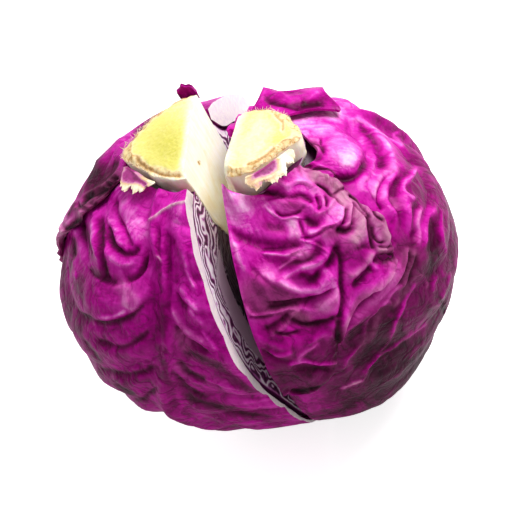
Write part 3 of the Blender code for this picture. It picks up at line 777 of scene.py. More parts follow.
# %% White cut flesh
def cut_flesh_finish():
    """The edge of an outer leaf where the knife passed: white and moist, with faint purple."""
    material, tree, shader = new_material("cut_flesh")
    cloud = use_effect(tree, MOTTLE, Scale=420.0, Roughness=0.65, Amount=0.5)
    colour = colour_ramp(tree, add_up(tree, cloud, 0.6, clamp=True),
                         [(0.0, (198, 140, 186)), (0.35, (226, 204, 220)), (1.0, (244, 234, 224))])
    tree.links.new(colour, shader.inputs["Base Color"])
    add_bump(tree, shader, cloud, 0.3, 0.6 * MM)
    set_flesh(shader, 0.34, 0.2, (1.0, 0.7, 0.8), 3 * MM)
    return material


LEAF = leaf_finish("red_leaf", 0.36, 0.06)
CUT_FLESH = cut_flesh_finish()
print("finishes so far:", LEAF.name, CUT_FLESH.name)

# %% [markdown]
# ## The outer leaves
# Four outer leaves wrap the head, two on each half. On the real object each is one sheet with a
# thick middle rib, side veins, and margins that have dried and crinkled. Each is built here in
# three steps: the form of the solid, a crumple of natural folds all over, and then the folds that
# the photograph shows, drawn one by one. Sculpting by hand would do as well, but lines and widths
# can be corrected one at a time.

# %% Points of a leaf
def turn_across(fall, across, low, high, rib=None, rib_at=0.5):
    """Turn at a share of the way across a leaf; the points crowd towards its rib, if it has one."""
    if rib is None:
        return low(fall) + across * (high(fall) - low(fall))
    before = rib(fall) - (rib(fall) - low(fall)) * np.clip(1.0 - across / rib_at, 0.0, 1.0) ** 1.1
    after = np.clip((across - rib_at) / (1.0 - rib_at), 0.0, 1.0) ** 1.1
    return np.where(across < rib_at, before, rib(fall) + (high(fall) - rib(fall)) * after)


def leaf_grid(stalk, low, high, bottom, rows, columns, rib=None, rib_at=0.5):
    """Falls and turns of a leaf's points, from the stalk down and from its low to its high edge."""
    across = np.linspace(0.0, 1.0, columns)[None, :]
    down = np.linspace(0.0, 1.0, rows)[:, None]
    top = shoulder_fall(turn_across(30.0, across, low, high, rib, rib_at), stalk)
    fall = top + (0.85 * down + 0.15 * down ** 2) * (bottom(across) - top)
    turn = turn_across(fall, across, low, high, rib, rib_at)
    return fall, turn, down + 0 * across, across + 0 * down


CRUMPLE = 0.75 * MM
FINE_CRUMPLE = 0.38 * MM
DRAWN_SHARE = 0.3


def natural_folds(place, calm):
    """Crumple of a leaf in mm of height, and its tone: painted shade along the creases, painted highlight on the
    bulges.
    """
    coarse = creased(place, 19 * MM, 3)
    fine = creased(place, 7.5 * MM, 9)
    return calm * (CRUMPLE * coarse + FINE_CRUMPLE * fine), 0.13 * coarse + 0.06 * fine


def side_veins(fall, turn, rib_turn, spacing):
    """1 on the thin veins that leave the middle rib and fork towards the margin."""
    aside = np.abs((turn - rib_turn) * np.sin(np.radians(fall)))
    along = (fall - 0.75 * aside + 0.009 * aside ** 2) / spacing
    width = 0.05 + 0.0005 * aside
    main = np.exp(-((along - np.round(along)) / width) ** 2)
    forked = (fall - 0.25 * aside) / (0.55 * spacing)
    fork = 0.6 * np.exp(-((forked - np.round(forked)) / 0.08) ** 2) * smooth_step((aside - 14.0) / 10.0)
    return np.maximum(main, fork) * smooth_step((aside - 3.0) / 6.0)


def thickness_at(way, distance, sunk=0.0, lifted=0.0, over_leaf=0.0):
    """Thickness of an outer leaf, which is as thick as its own rib where the knife passed."""
    near_knife = 1.0 - smooth_step(np.abs(way[..., 0]) * distance / CUT_BLADE_REACH)
    fall = np.degrees(np.arccos(way[..., 2]))
    cut_blade = CUT_BLADE * (1.0 - CUT_TAPER * smooth_step((fall - 76.0) / 56.0))
    at_knife = np.maximum(distance - skin(way) + cut_blade + sunk - lifted, BLADE)
    at_knife = at_knife + over_leaf * (BLADE - at_knife)
    return BLADE + near_knife * (at_knife - BLADE)


def dress_leaf(name, side, grid, relief, tone, folds, calm, dry, thickness):
    """One finished leaf from its angles, the solid's relief, its own tone and its drawn folds."""
    fall, turn = grid[:2]
    way = direction(fall, turn)
    base = skin(way) + swell(way) + relief
    place = way * base[..., None]
    crumple, shade = natural_folds(place, calm)
    world = stand(place, side)
    height = np.zeros_like(base)
    drawn_height, tone, dry, facing = draw_folds(world, folds, height, tone + shade,
                                                 dry + np.zeros_like(base), way)
    distance = base + crumple * (1.0 - DRAWN_SHARE * facing) + drawn_height
    inside = inside_of(distance, thickness)
    outer, inner = way * distance[..., None], way * inside[..., None]
    for points in (outer, inner):
        points[..., 0] = np.where(np.abs(points[..., 0]) < 1e-6, 0.0, points[..., 0])
    press_flat(outer, 0.0)
    press_flat(inner, BLADE)
    piece = close_sheet(name, outer, inner, side, [LEAF, CUT_FLESH], {"tone": tone, "dry": dry})
    map_leaf(piece, side, turn)
    return piece


def map_leaf(piece, side, turn):
    """A UV map on a leaf: U around the head and V down it, so that a grain follows the leaf."""
    mesh = piece.data
    layer = mesh.uv_layers.new(name="UVMap")
    corners = np.zeros(len(mesh.loops), np.int32)
    mesh.loops.foreach_get("vertex_index", corners)
    place = np.zeros(len(mesh.vertices) * 3)
    mesh.vertices.foreach_get("co", place)
    place = place.reshape(-1, 3) - np.array([side * CROWN_GAP / 2 + CENTRE_SHIFT[0], CENTRE_SHIFT[1], 95 * MM])
    around = np.degrees(np.arctan2(place[:, 1], place[:, 0])) - turn.mean()
    around = (around + 180.0) % 360.0 / 360.0
    down = np.arctan2(place[:, 2], np.hypot(place[:, 0], place[:, 1])) / math.pi
    layer.data.foreach_set("uv", np.stack([around, down], -1)[corners].reshape(-1).astype(np.float32))


# %% [markdown]
# ## The left front leaf
# This is the big leaf that faces the light. A sunken middle rib runs down it, darkened by painted shade.
# Left of the rib the leaf is drawn together into finger-like ridges under the torn stump, and below them
# long low creases curve round the head like smiles. Painted highlight pales the ridges, painted shade darkens the
# creases.

# %% Folds of the left front leaf
LEFT_FRONT_FOLDS = [
    # Broad patches of painted light and shade: paler high up by the stump, darker down the left edge and towards the
    # crown.
    patch([(134, 210), (136, 232)], 26, 0.70),
    patch([(176, 205), (180, 236)], 20, 0.66),
    patch([(90, 300), (120, 330)], 32, 0.57),
    patch([(170, 330), (195, 350)], 24, 0.56),
    patch([(110, 380), (200, 405)], 30, 0.52),
    patch([(68, 250), (70, 290), (80, 340)], 12, 0.42),
    # the sunken middle rib, darkened by painted shade
    groove([(157, 226), (157, 250), (158, 275), (158, 296)], 3.2, 1.3, 0.44),
    groove([(168, 234), (168, 262), (168, 290), (166, 316)], 3.0, 1.2, 0.44),
    ridge([(165, 206), (163, 228), (162, 250)], 3.2, 0.7, 0.62),
    groove([(162, 300), (160, 322), (159, 345)], 6.5, 1.4, 0.38),
    groove([(160, 345), (162, 366), (165, 382), (169, 394), (174, 406), (178, 416)], 4.5, 0.8, 0.40),
    # fingers left of it, under the dry margin: painted highlight on the ridges, painted shade in the grooves
    groove([(81, 221), (84, 232), (88, 244), (90, 256)], 4.0, 1.2, 0.24),
    ridge([(95, 211), (96, 216), (94, 226), (94, 236), (95, 246), (97, 258)], 3.0, 1.5, 0.88),
    groove([(99, 217), (100, 231), (100, 247), (101, 260), (104, 272), (107, 281)], 3.0, 1.4, 0.20),
    ridge([(75, 229), (79, 235), (82, 243), (84, 252), (83, 262)], 2.6, 1.2, 0.78),
    groove([(72, 236), (74, 246), (75, 256)], 2.2, 0.9, 0.22),
    ridge([(77, 259), (78, 268), (76, 278)], 2.2, 0.8, 0.72),
    ridge([(88, 262), (92, 270), (98, 278), (106, 283)], 2.4, 0.9, 0.78),
    ridge([(68, 258), (69, 276), (74, 291), (80, 304), (87, 314)], 2.2, 0.6, 0.62),
    groove([(115, 200), (117, 210), (121, 219), (126, 229), (130, 239), (132, 247)], 2.2, 1.5, 0.20),
    ridge([(110, 214), (114, 224), (119, 236), (125, 247)], 4.0, 1.2, 0.80),
    groove([(108, 226), (110, 236), (116, 245), (122, 250)], 2.0, 1.0, 0.34),
    patch([(127, 212), (134, 222), (138, 236)], 9, 0.84, 1.6),
    groove([(107, 234), (110, 242), (116, 249), (125, 254), (133, 253), (140, 247)], 2.8, 1.2, 0.24),
    ridge([(105, 250), (110, 257), (118, 262), (126, 264), (133, 263)], 2.6, 1.0, 0.84),
    ridge([(147, 255), (145, 263), (139, 270), (131, 274)], 2.4, 0.9, 0.82),
    groove([(149, 255), (147, 265), (142, 273), (134, 280), (124, 284), (113, 285), (103, 282),
            (94, 276), (88, 268)], 2.8, 1.4, 0.22, flap=True),
    # pale patches, partly dry and partly painted highlight, and smiles under them with painted shade in their grooves
    patch([(122, 286), (131, 299)], 7, 0.76, 0.9, dry=0.3),
    patch([(108, 292), (112, 302)], 6, 0.66, 0.5),
    ridge([(146, 282), (146, 292), (142, 300), (137, 306)], 2.6, 0.8, 0.74),
    patch([(126, 304), (135, 310)], 4, 0.80, 0.5, dry=0.3),
    ridge([(101, 316), (108, 317), (117, 316), (125, 311)], 1.8, 0.7, 0.93),
    groove([(82, 313), (92, 319), (103, 322), (116, 321), (128, 317), (137, 311), (142, 305)], 2.4, 1.3,
           0.24, flap=True),
    ridge([(88, 326), (102, 331), (118, 331), (134, 326), (146, 317)], 4.5, 0.8, 0.56),
    groove([(98, 340), (108, 346), (120, 348), (132, 344), (141, 338), (147, 331)], 2.4, 1.1, 0.26),
    ridge([(106, 354), (122, 357), (138, 353), (150, 345)], 4.5, 0.6, 0.50),
    groove([(101, 369), (112, 373), (126, 375), (140, 373), (152, 368)], 2.2, 0.9, 0.24),
    ridge([(112, 380), (130, 383), (148, 379)], 3.5, 0.5, 0.44),
    groove([(115, 384), (124, 391), (134, 395)], 2.0, 0.7, 0.22),
    groove([(135, 401), (146, 398), (156, 388)], 2.0, 0.7, 0.22),
    ridge([(140, 395), (150, 390), (158, 380)], 1.8, 0.5, 0.46),
    groove([(84, 340), (92, 352), (100, 362)], 2.0, 0.6, 0.28),
    # right of the rib: painted highlight on the ridges, painted shade in the grooves
    patch([(178, 208), (181, 232)], 8, 0.76, 1.2),
    groove([(172, 240), (178, 250), (182, 262)], 2.2, 0.6, 0.46),
    ridge([(182, 253), (186, 265), (190, 278), (194, 288)], 1.8, 0.7, 0.84),
    ridge([(180, 286), (185, 296), (190, 304), (197, 311)], 2.0, 0.8, 0.84),
    groove([(176, 292), (182, 303), (188, 311), (196, 317)], 1.8, 0.8, 0.36),
    ridge([(174, 309), (178, 318), (184, 327), (193, 335), (204, 343)], 2.4, 0.9, 0.80, dry=0.25),
    ridge([(188, 310), (195, 318), (203, 325)], 1.8, 0.6, 0.84),
    groove([(177, 325), (186, 337), (197, 346), (208, 352)], 2.2, 1.0, 0.28, flap=True),
    patch([(180, 334), (186, 346)], 5, 0.56, 0.4, dry=0.5),
    ridge([(202, 330), (208, 341), (216, 350)], 1.6, 0.6, 0.80),
    patch([(179, 366), (187, 371)], 4, 0.60, 0.4, dry=0.3),
    groove([(178, 362), (186, 370), (196, 376), (206, 380)], 2.0, 0.8, 0.24),
    groove([(174, 374), (182, 384), (192, 391), (204, 396)], 2.0, 0.8, 0.24),
    ridge([(206, 378), (218, 383), (230, 386), (242, 389)], 1.4, 0.5, 0.66),
    groove([(186, 352), (204, 361), (224, 372), (246, 388), (262, 397)], 3.4, 0.7, 0.26),
    groove([(184, 395), (210, 406), (240, 413), (270, 418)], 3.0, 0.7, 0.18),
    ridge([(243, 402), (256, 401), (268, 397)], 1.8, 0.5, 0.66),
    ridge([(254, 396), (262, 395), (268, 392)], 1.6, 0.5, 0.72),
    ridge([(250, 407), (262, 405), (274, 403)], 1.4, 0.4, 0.58),
    # dry scars and the splinter of dry fibre that lies on the leaf
    ridge([(155, 256), (158, 258), (160, 262)], 1.3, 0.4, 0.95, dry=1.0),
    ridge([(149, 220), (158, 214), (166, 210), (176, 205), (187, 201)], 1.1, 0.8, 1.0, dry=1.0),
]


# %% Left front leaf
LEFT_KNIFE = (smooth_curve([(0, 90), (180, 90)]), smooth_curve([(0, 270), (180, 270)]))
front_low = smooth_curve([(20, 160), (60, 156), (110, 156), (134, 144), (152, 108), (160, 90), (180, 90)])
front_rib = smooth_curve([(28, 239), (44, 248), (58, 249), (77, 245), (104, 233), (150, 225)])


def to_the_crown(across):
    return 180.0 + 0 * across


grid = leaf_grid(LEFT_STALK, front_low, LEFT_KNIFE[1], to_the_crown, 331, 217, front_rib, 11 / 18)
fall, turn, down, across = grid
shown = smooth_step((turn - front_low(fall) - 14.0) / 16.0) * (1.0 - smooth_step((fall - 128.0) / 26.0))
relief = shown * ribbed(fall, turn, front_rib(fall), RIB_RISE, PUCKER_RISE, 17.0)
relief += shown * bump(fall, turn, 47.0, 214.0, 15.0, 2.2 * MM)
veins = side_veins(fall, turn, front_rib(fall), 17.0) * shown
relief += 0.25 * MM * veins
# Darker towards the crown and paler on the veins; painted shade where the relief sinks and painted highlight where it
# stands up.
tone = 0.67 - 0.17 * smooth_step((fall - 60.0) / 60.0) + 0.05 * relief / MM + 0.07 * veins
thick = knife_side(fall, turn)
relief += thick
way = direction(fall, turn)
thickness = thickness_at(way, skin(way) + swell(way) + relief, lifted=KNIFE_SIDE_SHARE * thick)
left_front = dress_leaf("left_front_leaf_fine", LEFT, grid, relief, tone, LEFT_FRONT_FOLDS, 0.4 + 0.6 * shown,
                        0.0, thickness)

# %% [markdown]
# ## The left back leaf
# It lies over the front leaf's far side. Its free margin has dried and crinkled, and the knife split
# its thick pale stem, which stands as an arch behind the stump. Its back was never in the
# photograph, so its folds there are those of any outer leaf.

# %% Folds of the left back leaf
LEFT_BACK_FOLDS = [
    # Painted highlight on the upper bulge, painted shade on the sunken lower left, and the dry margin's crinkles with
    # painted shade in their grooves.
    patch([(118, 142), (124, 136)], 7, 0.80, 0.8),
    ridge([(96, 166), (106, 154), (116, 144), (124, 137)], 5.0, 0.9, 0.66),
    patch([(92, 172), (96, 182)], 12, 0.22, -0.4),
    groove([(84, 190), (92, 186), (102, 178), (112, 168), (117, 160)], 3.0, 0.8, 0.24),
    ridge([(84, 170), (92, 164), (100, 159)], 2.4, 0.5, 0.46),
    patch([(86, 196), (98, 188), (110, 178), (116, 172)], 6.0, 0.30, 0.0, dry=0.9),
    ridge([(118, 172), (112, 178), (104, 184), (96, 189), (88, 193)], 1.5, 0.9, 0.50, dry=0.9),
    groove([(118, 177), (112, 184), (104, 190), (94, 195), (84, 199)], 1.4, 0.9, 0.10, dry=0.7),
    ridge([(117, 182), (112, 190), (106, 196), (98, 202), (92, 206)], 1.5, 0.9, 0.52, dry=0.9),
    groove([(112, 196), (106, 201), (100, 205)], 1.3, 0.7, 0.12, dry=0.6),
    ridge([(96, 198), (90, 204), (83, 208), (76, 210)], 1.4, 0.8, 0.44, dry=0.8),
    groove([(92, 192), (84, 200), (80, 208)], 1.4, 0.8, 0.10, dry=0.6),
    ridge([(78, 202), (74, 208), (70, 216)], 1.8, 0.9, 0.30, dry=0.6),
    groove([(98, 204), (90, 210), (82, 216), (74, 223), (66, 230)], 1.6, 0.6, 0.04),
    ridge([(222, 97), (233, 94), (244, 98), (252, 105)], 2.0, 0.3, 0.96, dry=0.4),
]

# %% Left back leaf
back_high = smooth_curve([(20, 178), (33, 182), (43, 187), (52, 184), (60, 180), (72, 176), (90, 173),
                          (110, 172), (180, 172)])


def left_back_bottom(across):
    return 152.0 - 34.0 * smooth_step((across - 0.55) / 0.45) ** 2 + 2.5 * np.sin(across * 17.0)


def frayed_edge(closeness, along, waves):
    """Small teeth and crinkles that run in from a dried margin."""
    return smooth_step(closeness) * np.sin(along * waves + 1.7 * np.sin(along * waves * 0.37))


grid = leaf_grid(LEFT_STALK, LEFT_KNIFE[0], back_high, left_back_bottom, 265, 187)
fall, turn, down, across = grid
veined = smooth_step((38.0 - np.abs(turn - 137.0)) / 20.0) * (1.0 - smooth_step((fall - 116.0) / 16.0))
relief = veined * ribbed(fall, turn, 97.0, 0.0, PUCKER_RISE, 19.0)
risen, sunk = petiole(fall, turn, PETIOLE_OUTSIDE), petiole(fall, turn, PETIOLE_INSIDE)
relief += over(fall, turn, front_low(fall)) + risen
relief += margin_lift((across - 0.80) / 0.2, fall, 2.6 * MM, 17.0) * smooth_step((fall - 29.0) / 8.0)
relief += margin_lift((down - 0.86) / 0.14, turn, 1.6 * MM, 15.0)
closeness = np.maximum((across - 0.84) / 0.16, (down - 0.90) / 0.10)
relief += 0.55 * MM * frayed_edge(closeness, fall + 0.6 * turn, 1.3)
veins = side_veins(fall, turn, 97.0 + 0.0 * fall, 19.0) * (1.0 - smooth_step((fall - 122.0) / 16.0))
relief += 0.25 * MM * veins
stem = risen / (10.0 * MM)
# Darker towards the crown, paler on the veins and the pale split stem; painted shade where the relief sinks and
# painted highlight where it stands up.
tone = 0.56 - 0.20 * smooth_step((fall - 60.0) / 60.0) + 0.05 * relief / MM * (1.0 - stem) + 0.07 * veins + 0.5 * stem
dry = np.clip(0.75 * smooth_step(closeness * 1.1 - 0.15) + 0.25 * stem, 0.0, 1.0)
way = direction(fall, turn)
thickness = thickness_at(way, skin(way) + swell(way) + relief, sunk)
thickness = np.maximum(thickness, BLADE + risen + sunk)
left_back = dress_leaf("left_back_leaf_fine", LEFT, grid, relief, tone, LEFT_BACK_FOLDS, 0.8, dry, thickness)

# %% [markdown]
# ## The right back leaf
# The brightest leaf of the head, pale on top with painted light. Beside its stump it bulges like a blister,
# long curved ribs run down its right side, and low on the right its veins show as thin pale lines on
# purple that painted shade makes nearly black.

# %% Folds of the right back leaf
RIGHT_BACK_FOLDS = [
    # Broad patches of painted light and shade: pale at the top by the stump, darker down the right side and nearly
    # black low on the right.
    patch([(305, 118), (335, 116)], 24, 0.86),
    patch([(380, 120), (405, 150)], 18, 0.50),
    patch([(400, 196), (404, 212)], 10, 0.46),
    patch([(420, 180), (430, 220)], 20, 0.46),
    patch([(430, 250), (425, 290)], 24, 0.38),
    patch([(400, 330), (380, 360), (400, 350)], 32, 0.18),
    patch([(410, 300), (418, 322)], 14, 0.38),
    # the blister, with a painted highlight on it and painted shade in the groove below it, and the ring around it
    patch([(352, 134), (364, 146), (364, 158)], 9, 0.58, -0.6),
    groove([(324, 153), (322, 146), (328, 136), (338, 129), (350, 130), (360, 137), (368, 148)],
           3.4, 1.0, 0.62),
    patch([(338, 148), (346, 156)], 13, 0.93, 1.8),
    groove([(334, 176), (344, 179), (353, 178), (362, 171), (368, 160), (370, 150)], 3.6, 2.0, 0.20),
    ridge([(362, 136), (363, 140)], 2.4, 0.4, 0.86),
    # creases, darkened by painted shade, and papery parts by the stump
    groove([(322, 119), (330, 123), (341, 125), (350, 130)], 1.4, 0.4, 0.66),
    patch([(300, 147), (312, 147)], 6, 0.68, 0.3, dry=0.6),
    groove([(298, 141), (306, 141), (316, 145), (323, 149)], 1.3, 0.6, 0.40, dry=0.5),
    groove([(321, 139), (322, 147), (324, 152)], 1.3, 0.6, 0.40),
    groove([(304, 159), (310, 162), (317, 159), (323, 153)], 3.2, 1.3, 0.36),
    ridge([(295, 154), (302, 163), (311, 161), (319, 166), (328, 170), (336, 176)], 2.2, 1.1, 0.86),
    groove([(296, 160), (303, 167), (309, 167), (312, 164)], 2.0, 1.0, 0.22),
    groove([(312, 169), (322, 169), (331, 171), (338, 177)], 1.1, 0.7, 0.24, dry=0.5),
    # long curved ribs, paled by painted highlight, with painted shade in the grooves between them
    ridge([(350, 120), (360, 125), (371, 131), (381, 141), (389, 152), (391, 160)], 4.2, 1.5, 0.92),
    groove([(358, 127), (368, 133), (376, 142), (380, 152), (379, 163), (373, 174), (367, 186)],
           2.8, 1.2, 0.42),
    ridge([(366, 150), (373, 156), (376, 166), (371, 178), (365, 188), (360, 193)], 4.6, 1.0, 0.86),
    ridge([(390, 165), (384, 172), (377, 181), (372, 191), (374, 199)], 3.6, 1.5, 0.88, dry=0.2),
    groove([(394, 172), (388, 178), (381, 186), (377, 196), (378, 204), (382, 210)], 1.6, 1.4, 0.32),
    ridge([(392, 166), (394, 172), (388, 180), (383, 190), (384, 201), (390, 210), (397, 218)],
          3.8, 1.6, 0.88),
    groove([(384, 156), (382, 163), (384, 168)], 2.6, 0.9, 0.36),
    groove([(402, 176), (397, 186), (394, 197), (398, 209), (404, 222), (408, 234)], 4.4, 1.5, 0.34),
    patch([(393, 198), (398, 206)], 2.6, 0.60, 0.2, dry=0.5),
    ridge([(415, 169), (409, 177), (403, 184), (402, 191), (406, 196), (414, 199)], 2.2, 1.5, 0.90),
    ridge([(403, 192), (406, 203), (410, 214), (411, 225), (410, 233)], 3.8, 1.3, 0.84),
    groove([(416, 205), (415, 216), (414, 228), (413, 240)], 3.0, 1.2, 0.30),
    ridge([(422, 207), (419, 214), (417, 224), (418, 234), (417, 244)], 1.9, 1.1, 0.84, dry=0.3),
    ridge([(433, 207), (428, 216), (424, 226), (425, 236), (423, 243)], 3.2, 1.2, 0.80),
    groove([(434, 222), (433, 240), (434, 262), (431, 280)], 4.5, 1.0, 0.20),
    ridge([(441, 210), (441, 222), (440, 233), (443, 244), (444, 254)], 1.5, 0.8, 0.62),
    ridge([(437, 275), (434, 283), (433, 292)], 2.0, 0.8, 0.58),
    ridge([(451, 274), (447, 285), (443, 296), (438, 306)], 1.8, 0.8, 0.50),
    ridge([(398, 132), (392, 136), (402, 144)], 1.2, 0.3, 0.80),
    ridge([(352, 121), (366, 127), (380, 134), (392, 141), (402, 147)], 1.4, 0.5, 0.84),
    # dry crinkles at the side, with painted shade in their grooves
    patch([(409, 256), (404, 272)], 8, 0.36, 0.0, dry=0.85),
    ridge([(406, 249), (406, 260), (401, 271), (393, 283)], 1.4, 0.8, 0.60, dry=0.7),
    groove([(409, 252), (408, 264), (403, 275), (396, 287)], 1.3, 0.9, 0.14, dry=0.6),
    ridge([(413, 250), (411, 262), (406, 276), (399, 289)], 1.4, 0.8, 0.50, dry=0.8),
    groove([(417, 255), (414, 266), (409, 279), (402, 292)], 1.4, 0.8, 0.14, dry=0.6),
    ridge([(413, 278), (418, 275), (424, 276)], 1.4, 0.7, 0.56, dry=0.8),
    ridge([(425, 282), (427, 286), (424, 288)], 1.4, 0.6, 0.62, dry=0.8),
    # the broad pale fold, low on the right, partly dry and partly painted highlight, the painted shadow it casts
    # below it, and the veins that fan from it
    ridge([(398, 262), (392, 276), (384, 288), (374, 299), (362, 311), (350, 320)], 6.5, 1.9, 0.76, dry=0.35),
    ridge([(392, 300), (380, 306), (368, 314), (356, 321), (346, 326), (343, 336)], 3.2, 0.9, 0.62),
    groove([(392, 306), (378, 314), (364, 325), (350, 338)], 5.0, 1.2, 0.22),
    ridge([(390, 261), (384, 267), (379, 273), (373, 281), (365, 287), (361, 293)], 1.3, 0.8, 0.86, dry=0.3),
    groove([(380, 262), (373, 272), (364, 282), (356, 292), (350, 304)], 3.6, 1.3, 0.16),
    ridge([(366, 280), (357, 288), (352, 297), (349, 309), (345, 322)], 1.4, 0.8, 0.66, dry=0.3),
    ridge([(400, 283), (392, 292), (385, 299), (381, 305)], 1.5, 0.9, 0.74, dry=0.3),
    ridge([(407, 283), (403, 293), (397, 301), (390, 307)], 3.0, 0.8, 0.46, dry=0.8),
    ridge([(414, 285), (409, 293), (405, 302), (402, 312), (396, 322), (392, 333)], 1.5, 0.7, 0.64),
    ridge([(392, 333), (388, 343), (380, 353), (371, 364), (362, 377)], 1.2, 0.6, 0.46),
    ridge([(426, 324), (416, 330), (405, 338), (395, 347), (383, 354), (372, 362), (364, 373)],
          1.3, 0.6, 0.54),
    patch([(388, 309), (378, 319), (371, 333), (358, 345)], 4.0, 0.36, 0.5, dry=0.7),
    ridge([(376, 308), (368, 318), (364, 330), (361, 342), (353, 352), (345, 359), (341, 369)],
          1.3, 0.7, 0.50),
    ridge([(424, 340), (416, 349), (409, 358)], 1.2, 0.4, 0.46),
    ridge([(404, 368), (396, 376), (386, 381)], 1.2, 0.3, 0.34),
    ridge([(341, 388), (348, 385), (355, 383), (362, 380)], 1.2, 0.5, 0.86, dry=1.0),
    groove([(440, 299), (444, 308), (446, 316)], 2.0, 0.8, 0.05),
]

# %% Right back leaf
RIGHT_KNIFE = (smooth_curve([(0, -90), (180, -90)]), smooth_curve([(0, 90), (180, 90)]))
back_low = smooth_curve([(10, -48), (56, -46), (70, -56), (82, -72), (92, -84), (101, -90), (180, -90)])
front_high = smooth_curve([(20, -36), (32, -29), (39, -27), (47, -26), (52, -28), (58, -29.5), (63, -28.5),
                           (69, -31), (75, -33), (80, -35), (180, -35)])
front_foot = smooth_curve([(-90, 108), (-79, 108), (-71, 105), (-67, 99), (-62.5, 88), (-58, 83.5), (-52, 82),
                           (-44, 80.5), (-39, 79), (-33, 76)])
back_rib = smooth_curve([(10, 20), (40, 32), (90, 30), (140, 10), (180, 0)])

grid = leaf_grid(RIGHT_STALK, back_low, RIGHT_KNIFE[1], to_the_crown, 277, 259, back_rib, 0.55)
fall, turn, down, across = grid
past = np.maximum(turn - front_high(fall), fall - front_foot(turn))
shown = smooth_step((past + 2.0) / 14.0) * (1.0 - smooth_step((fall - 128.0) / 26.0))
relief = shown * ribbed(fall, turn, back_rib(fall), RIB_RISE, PUCKER_RISE, 18.0)
relief += shown * bump(fall, turn, 45.0, -8.0, 15.0, 3.2 * MM)
under_top_leaf = smooth_step((turn - 14.0) / 12.0) * (1.0 - smooth_step((turn - 72.0) / 12.0))
under_top_leaf = under_top_leaf * (1.0 - smooth_step((fall - 48.0) / 12.0))
relief = relief * (1.0 - under_top_leaf) - 0.8 * MM * under_top_leaf - far_hollow(fall, turn)
veins = side_veins(fall, turn, back_rib(fall), 18.0) * shown * (1.0 - under_top_leaf)
relief += 0.25 * MM * veins
hollow = far_hollow(fall, turn)
# Darker towards the crown and paler on the veins; painted shade where the relief sinks and painted highlight where it
# stands up.
tone = 0.66 - 0.34 * smooth_step((fall - 50.0) / 60.0) + 0.05 * (relief + hollow) / MM + 0.07 * veins
way = direction(fall, turn)
thickness = thickness_at(way, skin(way) + swell(way) + relief, lifted=-hollow)
right_back = dress_leaf("right_back_leaf_fine", RIGHT, grid, relief, tone, RIGHT_BACK_FOLDS, 0.4 + 0.6 * shown,
                        0.0, thickness)

# %% [markdown]
# ## The right front leaf
# The most crumpled leaf: smooth by the knife, where painted light makes it pale, then a nest of rolled
# folds under the stump, and below them flat papery layers. Its far margin has dried to mauve paper,
# with painted shade in its cracks.

